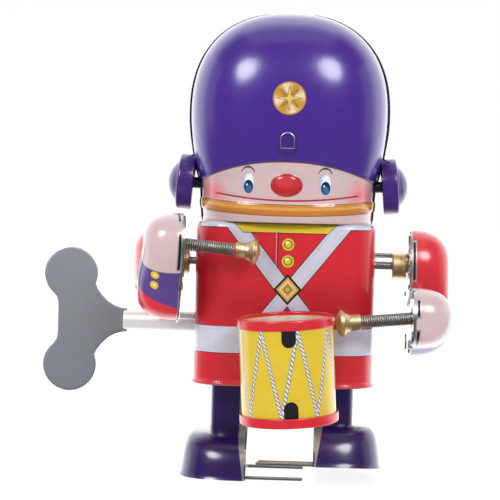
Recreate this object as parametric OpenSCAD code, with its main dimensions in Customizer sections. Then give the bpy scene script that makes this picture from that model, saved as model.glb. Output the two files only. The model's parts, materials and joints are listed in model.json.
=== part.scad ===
// Wind-up tin drummer: a walking soldier in a tall dome hat with a drum on its front.
// +X is to the right seen from the front, -Y is the front, +Z is up, and the floor is z = 0.
// Lengths are millimetres. Left and right are as seen from the front.

/* [Body] */
// Width of the body across its side walls
body_w = 47; // [46:0.5:50]
// Depth of the body, front to back
body_d = 32; // [32:0.5:34]
// Radius of the body's upright corners
body_corner_r = 9; // [6:0.5:10]
// Height of the jacket's hem above the floor
hem_z = 24; // [24:0.1:24.4]
// Height of the top of the shoulders
shoulder_top_z = 66.5; // [66.5:0.1:67]
// Thickness of the printed tin sheet
sheet = 0.4; // [0.3:0.05:0.5]

/* [Head] */
// Height of the top of the hat
hat_top_z = 121.5; // [118:0.5:124]
// Height at which the hat is widest
hat_wide_z = 94.6; // [92:0.2:96]
// Half width of the hat where it is widest
hat_half_w = 26.4; // [25.5:0.1:27]
// Half width of the face at the chin
chin_half_w = 22.6; // [22:0.1:23]
// Half width of the face under the hat
brow_half_w = 23.2; // [22.8:0.1:23.4]
// Height at which the face turns into the hat at the sides
hat_edge_z = 77; // [76:0.5:78]
// Depth of the head as a share of its width
head_depth_share = 0.82; // [0.78:0.01:0.86]
// Squareness of the head seen from above, 2 being an ellipse
head_squareness = 2.6; // [2.2:0.1:3.2]
// Squareness of the hat's dome seen from the front
dome_squareness = 2.38; // [2.1:0.02:2.8]

/* [Ears] */
// Height of the ears' centre
ear_z = 76.2; // [75:0.2:77]
// Radius of an ear cup
ear_r = 7.4; // [6.8:0.1:7.6]
// Radius of the dome on an ear cup
ear_dome_r = 5.5; // [5:0.1:6]
// Angle at which the ears look up
ear_tilt = 5; // [0:1:8]

/* [Drum] */
// Radius of the drum's side
drum_r = 11.9; // [11.5:0.1:12]
// Radius of the drum's bottom band
drum_band_r = 12.5; // [12.3:0.1:12.6]
// Height of the drum's lower edge
drum_low_z = 16.8; // [16:0.2:17.4]
// Height of the drum from edge to edge
drum_h = 26.7; // [26:0.1:27]
// Lean of the drum, its right side being the higher
drum_lean = 3.5; // [0:0.5:4]
// Tilt of the drum's top towards the front
drum_pitch = 2.2; // [0:0.2:2.4]
// Distance of the drum to the right of the middle
drum_x = 1.6; // [1:0.1:1.8]

/* [Arms] */
// Height of the shoulder axle
shoulder_z = 55.5; // [55.5:0.1:55.6]
// Distance of the shoulder axle behind the middle of the body
shoulder_y = 2; // [2:0.1:2.1]
// Distance from the middle to each arm's brass bush, before end float
arm_x = 30.6; // [30.4:0.1:31.4]
// End float that pushes both arms towards the right
arm_float = 1.3; // [0:0.1:1.4]
// Angle between the lowered and the raised arm
arm_swing = 43; // [40:0.5:43]
// Angle by which the left arm's hand hangs inwards
left_sway = 9; // [0:0.5:9.5]
// Angle by which the right arm's hand hangs outwards
right_sway = 1.5; // [0:0.5:3]
// Radius of the shoulder axle
axle_r = 1.2; // [1.1:0.05:1.2]
// Radius of the drive rods
rod_r = 0.75; // [0.7:0.05:0.75]
// Distance of a drive rod from the shoulder axle
rod_throw = 3.8; // [3.8:0.1:3.9]
// Droop of the drumsticks towards their knobs
stick_droop = 5; // [3:0.5:7]
// Forward lean of the drumsticks
stick_lean = 8; // [7:0.5:9]

/* [Legs] */
// Distance from the middle to the inside of each leg's plate
leg_plate_x = 8.6; // [8.6:0.05:8.7]
// Distance from the middle to the outside of each shoe
shoe_out_x = 26.3; // [25.5:0.1:27]
// Position of the toe
toe_y = -20; // [-21:0.5:-19]
// Position of the heel
heel_y = 12; // [11:0.5:13]
// Height of the instep
instep_z = 12; // [11.8:0.2:13]
// Tilt of the lifted foot, toe up
leg_tilt = 7; // [6:0.5:7]
// Radius of the foot wires
wire_r = 0.5; // [0.4:0.05:0.5]

/* [Clockwork] */
// Height of the winding arbor
key_z = 39; // [39:0.1:39.2]
// Distance of the winding arbor behind the middle of the body
key_y = 3.5; // [3.5:0.1:3.6]
// Distance of the crankshaft in front of the middle of the body
crank_y = -5; // [-5.1:0.1:-5]
// Throw of the two cranks
crank_throw = 1.3; // [1.2:0.05:1.3]
// Teeth of the great wheel
great_teeth = 42; // [42:1:42]
// Teeth of the crankshaft's pinion
crank_teeth = 10; // [10:1:10]
// Module of the great wheel and the crank pinion
great_module = 0.5; // [0.5:0.1:0.5]
// Teeth of the crankshaft's wheel
second_teeth = 20; // [20:1:20]
// Teeth of the governor's pinion
governor_teeth = 8; // [8:1:8]
// Module of the crankshaft's wheel and the governor's pinion
fine_module = 0.4; // [0.4:0.1:0.4]
// Teeth of the escape wheel
escape_teeth = 12; // [12:1:12]
// Thickness of the motor's side plates
plate_t = 0.8; // [0.7:0.05:0.8]
// Distance from the middle to the inside of each motor plate
plate_x = 6.6; // [6.6:0.05:6.7]

/* [Hidden] */

$fn = 48;
left = -1;
right = 1;
cut = 0.2;
hull_fn = 32;

body_h = shoulder_top_z - hem_z;
head_low_z = shoulder_top_z + sheet;
drum_y = -body_d / 2 - 1 - drum_band_r;
drum_mid_z = drum_low_z + drum_h / 2;
drum_band_h = 2.5;
drum_top_r = drum_band_r - 0.2;

// The crankshaft lies one centre distance from the winding arbor, below and in front of it.
train_gap = great_module * (great_teeth + crank_teeth) / 2;
crank_z = key_z - sqrt(pow(train_gap, 2) - pow(key_y - crank_y, 2));
mesh_angle = atan2(crank_z - key_z, crank_y - key_y);
// The governor's arbor lies one centre distance from the crankshaft, in front of it.
fine_gap = fine_module * (second_teeth + governor_teeth) / 2;
governor_angle = 158.2;
governor_y = crank_y + fine_gap * cos(governor_angle);
governor_z = crank_z + fine_gap * sin(governor_angle);
escape_r = 3.8;
pallet_pin_r = 0.3;
pallet_gap = 0.15;
pallet_reach = escape_r + pallet_pin_r + pallet_gap;
pallet_angle = 37.5;
verge_rise = 5.6;

// Where things sit along X between the motor's plates.
great_x = 3.2;
great_t = 1;
second_x = 0.6;
second_t = 0.8;
escape_x = -2.6;
escape_t = 0.7;
spring_x = -6;
spring_w = 5;
arbor_r = 1.5;
shaft_r = 1.2;
governor_arbor_r = 0.75;
verge_arbor_r = 0.6;
running = 0.05;
disc_r = 3.2;
disc_x = plate_x + plate_t + 0.2;
disc_t = 0.8;
crank_pin_r = 0.75;
guide_y = -6;
guide_z = 45;
guide_r = 1;
leg_plate_t = 0.5;

// The arm's outline, in its own plane, as [y, z, radius] of its shoulder, elbow and hand.
shoulder_joint = [0, 0, 8.9];
elbow = [-3, -16, 6.2];
hand = [-21, -12.1, 7.4];
arm_depth = 10.4;
hand_depth = 9.6;
bush_r = 3.5;
bush_l = 3.6;
spigot_r = 1.95;
spigot_l = 1.6;
arm_gap = 0.5;
arm_plate_t = 0.5;
spring_r = 1.7;
spring_wire = 0.5;
spring_turns = 35;
knob_r = 3.4;

key_blade_x = 57.5;
key_lobe_r = 7.2;
key_lobe_z = 12.25;
key_tube_r = 2.7;
key_neck_x = 43.2;
key_tip_x = key_blade_x + key_lobe_r;

// The toy is moved so that the middle of its outline on the floor is the origin.
widest_right_x = 43.43;
rearmost_y = hat_half_w * head_depth_share;
foremost_y = drum_y - drum_top_r * cos(drum_pitch) - drum_h / 2 * sin(drum_pitch);
shift = [(key_tip_x - widest_right_x) / 2, -(foremost_y + rearmost_y) / 2, 0];

// ---- Shared shapes ----

// A bar along X from one x to another, at a place in the YZ plane.
module bar(x0, x1, y, z, r) {
    translate([min(x0, x1), y, z]) rotate([0, 90, 0]) cylinder(h = abs(x1 - x0), r = r);
}

// An outline drawn as [y, z], made into a plate from one x to another.
module side_plate(x0, x1) {
    translate([min(x0, x1), 0, 0]) rotate([90, 0, 90]) linear_extrude(abs(x1 - x0)) children();
}

// A rectangle with round corners, around the origin.
module round_rect(w, d, r) {
    square([w - 2 * r, d], center = true);
    square([w, d - 2 * r], center = true);
    for (sx = [-1, 1], sy = [-1, 1]) translate([sx * (w / 2 - r), sy * (d / 2 - r)]) circle(r);
}

function clamp01(t) = min(1, max(0, t));

// Half width of the head at a height.
function head_half_w(z) =
    z < hat_edge_z ? chin_half_w + (brow_half_w - chin_half_w) * clamp01((z - head_low_z) / 10)
    : z < hat_wide_z ? brow_half_w + (hat_half_w - brow_half_w)
        * sin(90 * (z - hat_edge_z) / (hat_wide_z - hat_edge_z))
    : hat_half_w * pow(1 - pow(min(0.999, (z - hat_wide_z) / (hat_top_z - hat_wide_z)),
        dome_squareness), 1 / dome_squareness);

function signed_pow(v, p) = sign(v) * pow(abs(v), p);

// Heights of the head's rings, closer together towards the top of the dome.
head_rings = [for (z = [head_low_z : 2.5 : hat_edge_z]) z,
    for (i = [0 : 5]) hat_edge_z + (hat_wide_z - hat_edge_z) * (i + 0.5) / 6,
    for (i = [0 : 9]) hat_wide_z + (hat_top_z - hat_wide_z) * sin(9.9 * i)];
ring_points = 48;

function head_ring(z, inset) = [for (i = [0 : ring_points - 1]) let (
        a = 360 * i / ring_points,
        w = max(0.2, head_half_w(z) - inset),
        d = max(0.2, head_half_w(z) * head_depth_share - inset))
    [w * signed_pow(cos(a), 2 / head_squareness), d * signed_pow(sin(a), 2 / head_squareness), z]];

// The head as one solid, drawn in by the inset all round and lowered by it.
module head_solid(inset) {
    rings = inset > 0 ? [head_low_z - 1, each head_rings] : head_rings;
    n = ring_points;
    last = len(rings) - 1;
    points = [for (z = rings) each [for (p = head_ring(max(z, head_low_z), inset))
        [p.x, p.y, inset > 0 && z > hat_wide_z ? z - inset * (z - hat_wide_z) / 27
            : z]]];
    sides = [for (k = [0 : last - 1], i = [0 : n - 1]) let (a = k * n + i, b = k * n + (i + 1) % n)
        each [[a, a + n, b + n], [a, b + n, b]]];
    polyhedron(points, concat(sides, [[for (i = [0 : n - 1]) i]],
        [[for (i = [n - 1 : -1 : 0]) last * n + i]]), convexity = 4);
}

// Points of a spiral band in a plane, wound from an inner to an outer radius.
function spiral_band(turns, r0, r1, t) = let (n = turns * 30) concat(
    [for (i = [0 : n]) let (a = 360 * turns * i / n, r = r0 + (r1 - r0) * i / n)
        [r * cos(a), r * sin(a)]],
    [for (i = [n : -1 : 0]) let (a = 360 * turns * i / n, r = r0 + (r1 - r0) * i / n + t)
        [r * cos(a), r * sin(a)]]);

// Height of an involute flank: angle from where the flank leaves its base circle.
function involute(base_r, r) = let (k = sqrt(max(0, pow(r / base_r, 2) - 1)))
    k * 180 / PI - atan(k);

// A spur gear's outline with slim, slightly short teeth and a tooth on the +X side.
module gear_outline(teeth, m) {
    pitch_r = m * teeth / 2;
    base_r = pitch_r * cos(25);
    tip_r = pitch_r + 0.8 * m;
    root_r = pitch_r - 1.05 * m;
    half = 0.8 * 90 / teeth;
    start = max(base_r, root_r);
    flank = [for (i = [0 : 4]) let (r = start + (tip_r - start) * i / 4)
        [r, half + involute(base_r, pitch_r) - involute(base_r, r)]];
    polygon([for (k = [0 : teeth - 1]) let (mid = 360 * k / teeth) each concat(
        [[root_r * cos(mid - flank[0][1] * 1.15), root_r * sin(mid - flank[0][1] * 1.15)]],
        [for (f = flank) [f[0] * cos(mid - f[1]), f[0] * sin(mid - f[1])]],
        [for (i = [4 : -1 : 0]) let (f = flank[i]) [f[0] * cos(mid + f[1]), f[0] * sin(mid + f[1])]],
        [[root_r * cos(mid + flank[0][1] * 1.15), root_r * sin(mid + flank[0][1] * 1.15)]])]);
}

// ---- Body ----

module body_hollow() {
    translate([0, 0, hem_z]) linear_extrude(body_h) round_rect(body_w, body_d, body_corner_r);
}

// The jacket as one hollow tin box, open at the hem.
module jacket() {
    difference() {
        body_hollow();
        translate([0, 0, hem_z - cut]) linear_extrude(body_h - sheet + cut)
            round_rect(body_w - 2 * sheet, body_d - 2 * sheet, body_corner_r - sheet);
    }
}

// The bow-shaped slot in each side, in which a drive rod swings about the shoulder axle.
module rod_slot(side) {
    slot_r = rod_r + 0.35;
    end_angle = atan((rod_r + 0.25) / rod_throw);
    depth = 4;
    translate([side * body_w / 2 - depth / 2, shoulder_y, shoulder_z]) rotate([90, 0, 90])
        rotate([0, 0, -end_angle]) rotate_extrude(angle = arm_swing + 2 * end_angle)
            translate([rod_throw - slot_r, 0]) square([2 * slot_r, depth]);
}

module body_front_shell() {
    color("crimson") difference() {
        jacket();
        translate([-50, 0, 0]) cube([100, 50, 100]);
        for (z = bracket_tabs_z) translate([drum_x - bracket_tab_w / 2, -body_d / 2 - cut, z])
            cube([bracket_tab_w, sheet + 2 * cut, bracket_t]);
    }
}

module body_back_shell() {
    color("crimson") difference() {
        jacket();
        translate([-50, -50, 0]) cube([100, 50, 100]);
        bar(-30, 30, shoulder_y, shoulder_z, axle_r);
        bar(-30, -20, key_y, key_z, key_tube_r + 0.2);
        for (side = [left, right]) rod_slot(side);
    }
}

// The plate between the shoulders and the head.
module neck_plate() {
    color("gold") translate([0, 0, shoulder_top_z]) linear_extrude(sheet) difference() {
        round_rect(40, 26, 6);
        circle(4);
    }
}

// The floor of the body: a strip that carries the motor, with an opening for each leg.
module base_plate() {
    color("silver") difference() {
        translate([0, 0, hem_z]) linear_extrude(sheet)
            round_rect(body_w - 2 * sheet, body_d - 2 * sheet, body_corner_r - sheet);
        for (side = [left, right]) translate([side * 14.3, 0.5, hem_z - cut])
            linear_extrude(sheet + 2 * cut) square([12.6, 22], center = true);
    }
}

// ---- Head ----

module head_hollow() {
    difference() {
        head_solid(0);
        head_solid(sheet);
    }
}

// The slot low in the hat's front, which the head brace's tab comes out of.
tab_z = 84.6;
tab_w = 3.6;
tab_t = 0.4;
tab_h = 4.4;
tab_y = -(head_half_w(tab_z + tab_h) * head_depth_share + tab_t / 2 + 0.1);

module head_front_shell() {
    color("indigo") difference() {
        head_hollow();
        translate([-50, 0, 0]) cube([100, 50, 200]);
        for (side = [left, right]) ear_place(side) translate([0, 0, -5]) cylinder(h = 8, r = 1.6);
        translate([-tab_w / 2 - 0.1, -30, tab_z - 0.1]) cube([tab_w + 0.2, 20, tab_t + 0.2]);
    }
}

module head_back_shell() {
    color("indigo") difference() {
        head_hollow();
        translate([-50, -50, 0]) cube([100, 50, 200]);
        for (side = [left, right]) ear_place(side) translate([0, 0, -5]) cylinder(h = 8, r = 1.6);
    }
}

// A tin strap from the neck plate, whose end is folded up flat against the hat.
module head_brace() {
    back_y = -6;
    color("slateblue") {
        translate([-3, back_y, head_low_z]) cube([6, tab_t, tab_z - head_low_z]);
        translate([-3, back_y, head_low_z]) cube([6, 6, tab_t]);
        translate([-tab_w / 2, tab_y - tab_t / 2, tab_z]) cube([tab_w, back_y + tab_t - tab_y, tab_t]);
        translate([-tab_w / 2, tab_y - tab_t / 2, tab_z]) cube([tab_w, tab_t, tab_h]);
    }
}

// Distance from the face's side to an ear's backing, which keeps it clear of the hat.
ear_gap = 2.5;

// Puts a child, drawn along +Z, on the side of the head where the ears are.
module ear_place(side) {
    translate([side * brow_half_w, 0, ear_z]) rotate([0, side * (90 - ear_tilt), 0]) children();
}

module ear_cup(side) {
    back = ear_gap + 0.2;
    front = 5.9;
    dome_h = 2.7;
    ball_r = (pow(ear_dome_r, 2) + pow(dome_h, 2)) / (2 * dome_h);
    color("indigo") ear_place(side) difference() {
        union() {
            translate([0, 0, back]) cylinder(h = front - back, r = ear_r);
            intersection() {
                translate([0, 0, front + dome_h - ball_r]) sphere(ball_r);
                translate([0, 0, front]) cylinder(h = dome_h + cut, r = ear_dome_r);
            }
        }
        translate([0, 0, back - cut]) cylinder(h = front - back - sheet + cut, r = ear_r - sheet);
        intersection() {
            translate([0, 0, front + dome_h - ball_r]) sphere(ball_r - sheet);
            translate([0, 0, front - 1]) cylinder(h = dome_h + 1, r = ear_dome_r - sheet);
        }
    }
}
module ear_cup_left() { ear_cup(left); }
module ear_cup_right() { ear_cup(right); }

module ear_backing(side) {
    rim_r = ear_r - sheet - 0.1;
    color("darkslateblue") ear_place(side) {
        translate([0, 0, -2]) cylinder(h = ear_gap + 2 + sheet, r = 1.5);
        translate([0, 0, ear_gap]) difference() {
            cylinder(h = 1.8, r = rim_r);
            translate([0, 0, sheet]) cylinder(h = 2, r = rim_r - sheet);
        }
    }
}
module ear_backing_left() { ear_backing(left); }
module ear_backing_right() { ear_backing(right); }

// ---- Drum ----

module drum_place() {
    translate([drum_x, drum_y, drum_mid_z]) rotate([drum_pitch, -drum_lean, 0])
        translate([0, 0, -drum_h / 2]) children();
}

bracket_t = 0.6;
bracket_tab_w = 4;
bracket_tabs_z = [26, 35];

// Turn of the drum's recesses from its front towards the right.
drum_recess_turn = 4;

// The round-ended shape of a recess next to a band, grown by a margin.
module drum_recess(margin = 0) {
    recess_r = 1.8 + margin;
    middle = 2.4;
    translate([-recess_r, -drum_r - 1, -margin]) cube([2 * recess_r, 3, middle + margin]);
    translate([0, -drum_r + 2, middle]) rotate([90, 0, 0]) cylinder(h = 3, r = recess_r);
}

module next_to_both_bands() {
    rotate([0, 0, drum_recess_turn]) {
        translate([0, 0, drum_band_h]) children();
        translate([0, 0, drum_h - drum_band_h]) mirror([0, 0, 1]) children();
    }
}

// The drum's side, with two round-ended recesses pressed into its front.
module drum_shell() {
    panel_r = drum_r - sheet + 0.1;
    color("gold") difference() {
        drum_place() {
            difference() {
                translate([0, 0, 0.95]) cylinder(h = drum_h - 1.9, r = drum_r);
                cylinder(h = drum_h, r = drum_r - sheet);
                next_to_both_bands() drum_recess();
            }
            difference() {
                intersection() {
                    translate([0, 0, 0.95]) cylinder(h = drum_h - 1.9, r = panel_r);
                    next_to_both_bands() drum_recess(sheet);
                }
                cylinder(h = drum_h, r = panel_r - sheet);
            }
        }
        for (z = bracket_tabs_z) translate([drum_x - bracket_tab_w / 2, -body_d / 2 - 4, z])
            cube([bracket_tab_w, 4, bracket_t]);
    }
}

// A pressed lid: a flat skin inside a raised, rolled band.
module drum_lid(r) {
    rotate_extrude() difference() {
        union() {
            translate([0, -drum_band_h]) square([r, drum_band_h - 0.5]);
            translate([r - 0.9, -drum_band_h]) square([0.9, drum_band_h]);
        }
        translate([-cut, -drum_band_h - cut]) square([drum_r + 0.02 + cut, drum_band_h - 0.9 + cut]);
    }
}

module drum_top() {
    color("red") drum_place() translate([0, 0, drum_h]) drum_lid(drum_top_r);
}

module drum_bottom() {
    color("red") drum_place() mirror([0, 0, 1]) drum_lid(drum_band_r);
}

// The strap that holds the drum off the jacket, with a tab through each skin at both heights.
module drum_bracket() {
    strap_w = 7;
    color("silver") {
        difference() {
            translate([drum_x - strap_w / 2, -body_d / 2 - 1.8, 23]) cube([strap_w, 1.8, 14.5]);
            drum_place() translate([0, 0, -5]) cylinder(h = drum_h + 10, r = drum_r);
        }
        for (z = bracket_tabs_z) translate([drum_x - bracket_tab_w / 2, -body_d / 2 - 2.6, z])
            cube([bracket_tab_w, 4, bracket_t]);
    }
}

// ---- Arms ----

module arm_place(side) {
    translate([side * arm_x + arm_float, shoulder_y, shoulder_z]) children();
}

// The arm's own plane: x runs outwards from the plate and the arm hangs in the lowered pose.
module arm_frame(side) {
    sway = side == left ? left_sway : right_sway;
    raised = side == left ? arm_swing : 0;
    arm_place(side) rotate([0, 0, sway]) rotate([-raised, 0, 0])
        mirror([side == left ? 1 : 0, 0, 0]) children();
}

// A flat-bottomed dome along +X, the shape of a pressed tin limb over one joint.
module limb_end(joint, depth, inset) {
    r = joint[2] - inset;
    translate([arm_gap + arm_plate_t, joint[0], joint[1]]) rotate([0, 90, 0]) {
        cylinder(h = (depth - inset) * 0.45, r = r, $fn = hull_fn);
        cylinder(h = (depth - inset) * 0.8, r = r * 0.85, $fn = hull_fn);
        cylinder(h = depth - inset, r = r * 0.55, $fn = hull_fn);
    }
}

module limb(inset) {
    hull() {
        limb_end(shoulder_joint, arm_depth, inset);
        limb_end(elbow, arm_depth, inset);
    }
    hull() {
        limb_end(elbow, arm_depth, inset);
        limb_end(hand, hand_depth, inset);
    }
}

module arm_shell(side) {
    color("red") arm_frame(side) difference() {
        limb(0);
        translate([-0.01, 0, 0]) limb(sheet);
    }
}
module arm_shell_left() { arm_shell(left); }
module arm_shell_right() { arm_shell(right); }

module arm_plate(side) {
    color("silver") arm_frame(side) difference() {
        side_plate(arm_gap, arm_gap + arm_plate_t) {
            hull() {
                translate([shoulder_joint[0], shoulder_joint[1]]) circle(shoulder_joint[2], $fn = hull_fn);
                translate([elbow[0], elbow[1]]) circle(elbow[2], $fn = hull_fn);
            }
            hull() {
                translate([elbow[0], elbow[1]]) circle(elbow[2], $fn = hull_fn);
                translate([hand[0], hand[1]]) circle(hand[2], $fn = hull_fn);
            }
        }
        bar(-1, 2, 0, 0, spigot_r + 0.1);
        bar(-1, 2, rod_throw * cos(arm_swing), rod_throw * sin(arm_swing), rod_r + 0.15);
        bar(-1, 2, hand[0], hand[1], spring_r + 0.9);
    }
}
module arm_plate_left() { arm_plate(left); }
module arm_plate_right() { arm_plate(right); }

// Angle of a drive rod above the level behind the axle: it goes down as its arm goes up.
function rod_angle(side) = side == left ? 0 : arm_swing;

// The brass bush turns on the shoulder axle, is riveted through the arm's plate and is grooved for the rod.
module arm_bush(side) {
    color("goldenrod") arm_place(side) difference() {
        union() {
            bar(-side * bush_l, 0, 0, 0, bush_r);
            bar(0, side * spigot_l, 0, 0, spigot_r);
        }
        bar(-side * 5, side * 5, 0, 0, axle_r + running);
        bar(-side * 5, side * 5, rod_throw * cos(rod_angle(side)), rod_throw * sin(rod_angle(side)),
            rod_r + 0.02);
    }
}
module arm_bush_left() { arm_bush(left); }
module arm_bush_right() { arm_bush(right); }

// The rod that the leg's hook pulls down to raise the arm.
module drive_rod(side) {
    angle = rod_angle(side);
    end_x = side * (arm_x + 1.6) + arm_float;
    color("silver") bar(side * 8.2, end_x, shoulder_y + rod_throw * cos(angle),
        shoulder_z + rod_throw * sin(angle), rod_r);
}
module drive_rod_left() { drive_rod(left); }
module drive_rod_right() { drive_rod(right); }

// The stick's frame: it runs along +Z from inside the hand towards the drum.
module stick_frame(side) {
    raised = side == left ? arm_swing : 0;
    arm_frame(side) translate([arm_gap + 4, hand[0], hand[1]])
        rotate([raised, 0, 0]) rotate([0, 0, stick_lean]) rotate([0, -90 - stick_droop, 0])
        children();
}

spring_l = spring_turns * spring_wire;

// A close-wound coil, as a stack of touching rings with a hollow middle.
module drumstick_spring(side) {
    color("dimgray") stick_frame(side) rotate_extrude() difference() {
        union() {
            translate([0.6, 0]) square([spring_r - 0.6 - spring_wire / 2, spring_l]);
            for (i = [0 : spring_turns - 1])
                translate([spring_r - spring_wire / 2, (i + 0.5) * spring_wire])
                    circle(spring_wire / 2, $fn = 16);
        }
        square([0.6, spring_l]);
    }
}
module drumstick_spring_left() { drumstick_spring(left); }
module drumstick_spring_right() { drumstick_spring(right); }

// The turned brass knob: a neck, a waist that flares, and a low dome.
module drumstick_knob(side) {
    color("goldenrod") stick_frame(side) translate([0, 0, spring_l]) rotate_extrude() difference() {
        union() {
            square([2.1, 2.4]);
            difference() {
                translate([0, 2.4]) square([knob_r, 2.6]);
                translate([knob_r + 0.4, 2.4]) circle(1.7);
            }
            intersection() {
                translate([0, 5 - 4.1]) circle(5.5);
                translate([0, 5]) square([knob_r, 1.4]);
            }
        }
        translate([-10, -10]) square([10, 20]);
    }
}
module drumstick_knob_left() { drumstick_knob(left); }
module drumstick_knob_right() { drumstick_knob(right); }

module shoulder_axle() {
    color("silver") bar(-arm_x - spigot_l - 0.9 + arm_float, arm_x + spigot_l + 0.9 + arm_float,
        shoulder_y, shoulder_z, axle_r);
}

// Heads pressed on the axle's ends, which keep the arms on.
module axle_caps() {
    color("silver") for (side = [left, right]) difference() {
        bar(side * (arm_x + spigot_l + 0.15) + arm_float, side * (arm_x + spigot_l + 0.9) + arm_float,
            shoulder_y, shoulder_z, 1.9);
        bar(-60, 60, shoulder_y, shoulder_z, axle_r);
    }
}

// ---- Legs ----

// A leg is drawn as the left one stands at rest: flat on the floor, its crank pin at the bottom.
module leg_frame(side) {
    low_pin_z = crank_z - crank_throw;
    if (side == left) children();
    else translate([0, crank_y, crank_z + crank_throw]) rotate([-leg_tilt, 0, 0])
        translate([0, -crank_y, -low_pin_z]) children();
}

hook_low_z = 57.35;
hook_top_z = 60.2;

module leg_plate(side) {
    low_pin_z = crank_z - crank_throw;
    x0 = side * leg_plate_x;
    x1 = side * (leg_plate_x + leg_plate_t);
    color("silver") leg_frame(side) difference() {
        side_plate(x0, x1) polygon([[toe_y + 1, 0], [heel_y - 1, 0], [heel_y - 0.6, 4], [9, 11], [6.5, 13],
            [6.5, 31], [-0.5, 31], [-2.9, 34], [-2.9, hook_low_z], [7.2, hook_low_z],
            [7.2, hook_top_z], [-11.2, hook_top_z], [-11.2, 36], [-6.5, 30], [-6.5, 13],
            [-12, 11.4], [-17.5, 8], [toe_y + 0.6, 4]]);
        bar(-30, 30, crank_y, low_pin_z, crank_pin_r + running);
        side_plate(-30, 30) translate([-9.7, 40.9]) square([5.4, 5.5]);
        for (y = wire_y) translate([-30, y - wire_r - 0.1, -1]) cube([60, 2 * wire_r + 0.2, 1 + 2 * wire_r + 0.1]);
    }
}
module leg_plate_left() { leg_plate(left); }
module leg_plate_right() { leg_plate(right); }

// The outer form of a shoe, drawn in by the inset all round except on its inner side.
module shoe_form(inset) {
    in_x = leg_plate_x + leg_plate_t - (inset > 0 ? 1 : 0);
    low = inset > 0 ? -1 : 0;
    toe_r = 8;
    heel_r = 6;
    instep_r = 4.5;
    hull() {
        translate([shoe_out_x - toe_r, toe_y + toe_r, low]) cylinder(h = 5 - low, r = toe_r - inset, $fn = hull_fn);
        translate([shoe_out_x - heel_r, heel_y - heel_r, low]) cylinder(h = 6 - low, r = heel_r - inset, $fn = hull_fn);
        translate([in_x, toe_y + inset, low]) cube([2, heel_y - toe_y - 2 * inset, 4 - low]);
        for (y = [-9, 5]) {
            translate([shoe_out_x - 6.5, y, instep_z - instep_r]) sphere(instep_r - inset, $fn = hull_fn);
            translate([in_x, y, instep_z - instep_r]) rotate([0, 90, 0])
                cylinder(h = 2, r = instep_r - inset, $fn = hull_fn);
        }
    }
}

leg_out_x = 18.9;
leg_top_z = 33;

// The upright of a leg, seen from above, open towards the leg's plate.
module leg_section(inset) {
    in_x = leg_plate_x + leg_plate_t;
    r = 3 - inset;
    front_y = -6 + inset;
    rear_y = 7 - inset;
    start = in_x - (inset > 0 ? 1 : 0);
    translate([start, front_y]) square([leg_out_x - inset - r - start, rear_y - front_y]);
    translate([start, front_y + r]) square([leg_out_x - inset - start, rear_y - front_y - 2 * r]);
    for (y = [front_y + r, rear_y - r]) translate([leg_out_x - inset - r, y]) circle(r);
}

module leg_shell(side) {
    color("midnightblue") leg_frame(side) mirror([side == left ? 1 : 0, 0, 0]) difference() {
        union() {
            shoe_form(0);
            translate([0, 0, 6]) linear_extrude(leg_top_z - 6) leg_section(0);
        }
        shoe_form(sheet);
        translate([0, 0, 6]) linear_extrude(leg_top_z) leg_section(sheet);
    }
}
module leg_shell_left() { leg_shell(left); }
module leg_shell_right() { leg_shell(right); }

wire_y = [-17, 4];
wire_out_x = 22.3;
wire_in_x = 5.9;

// A U of wire in the shoe, whose two prongs reach across under the toy so that it can't tip.
module foot_wire(side) {
    color("silver") leg_frame(side) {
        for (y = wire_y) bar(-side * wire_in_x, side * wire_out_x, y, wire_r, wire_r);
        translate([side * wire_out_x, wire_y[0], wire_r]) rotate([-90, 0, 0])
            cylinder(h = wire_y[1] - wire_y[0], r = wire_r);
        for (y = wire_y) translate([side * wire_out_x, y, wire_r]) sphere(wire_r);
    }
}
module foot_wire_left() { foot_wire(left); }
module foot_wire_right() { foot_wire(right); }

// ---- Clockwork ----

module motor_plate(side) {
    x0 = side * plate_x;
    x1 = side * (plate_x + plate_t);
    color("lightgray") difference() {
        side_plate(x0, x1) polygon([[-14.6, hem_z + sheet], [14.6, hem_z + sheet], [14.6, 50],
            [12, 52], [-9, 52], [-14.6, 44]]);
        bar(-20, 20, key_y, key_z, arbor_r + running);
        bar(-20, 20, crank_y, crank_z, shaft_r + running);
        bar(-20, 20, governor_y, governor_z, governor_arbor_r + running);
        bar(-20, 20, governor_y, governor_z + verge_rise, verge_arbor_r + running);
        bar(-20, 20, guide_y, guide_z, guide_r);
        for (p = pillar_places) bar(-20, 20, p[0], p[1], 0.8);
    }
}
module motor_plate_left() { motor_plate(left); }
module motor_plate_right() { motor_plate(right); }

pillar_places = [[13, 48.5], [13, 29.5], [-6.5, 50], [-13.2, 26.4]];
spring_post_angle = -60;
spring_out_r = 10;

// Four spacers riveted between the plates, and the short post that holds the mainspring's end.
module motor_pillars() {
    color("silver") {
        for (p = pillar_places) {
            bar(-plate_x, plate_x, p[0], p[1], 1.2);
            bar(-plate_x - plate_t - 0.3, plate_x + plate_t + 0.3, p[0], p[1], 0.8);
        }
        bar(-plate_x, -0.6, key_y + 11.2 * cos(spring_post_angle), key_z + 11.2 * sin(spring_post_angle), 0.8);
    }
}

// The pins that keep the legs' plates upright.
module leg_guide_pins() {
    color("silver") for (side = [left, right])
        bar(side * plate_x, side * (leg_plate_x + leg_plate_t + 1), guide_y, guide_z, guide_r);
}

module mainspring() {
    color("slategray") side_plate(spring_x, spring_x + spring_w) translate([key_y, key_z])
        polygon(spiral_band(7, 2.0, spring_out_r - 0.1, 0.3));
}

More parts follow.
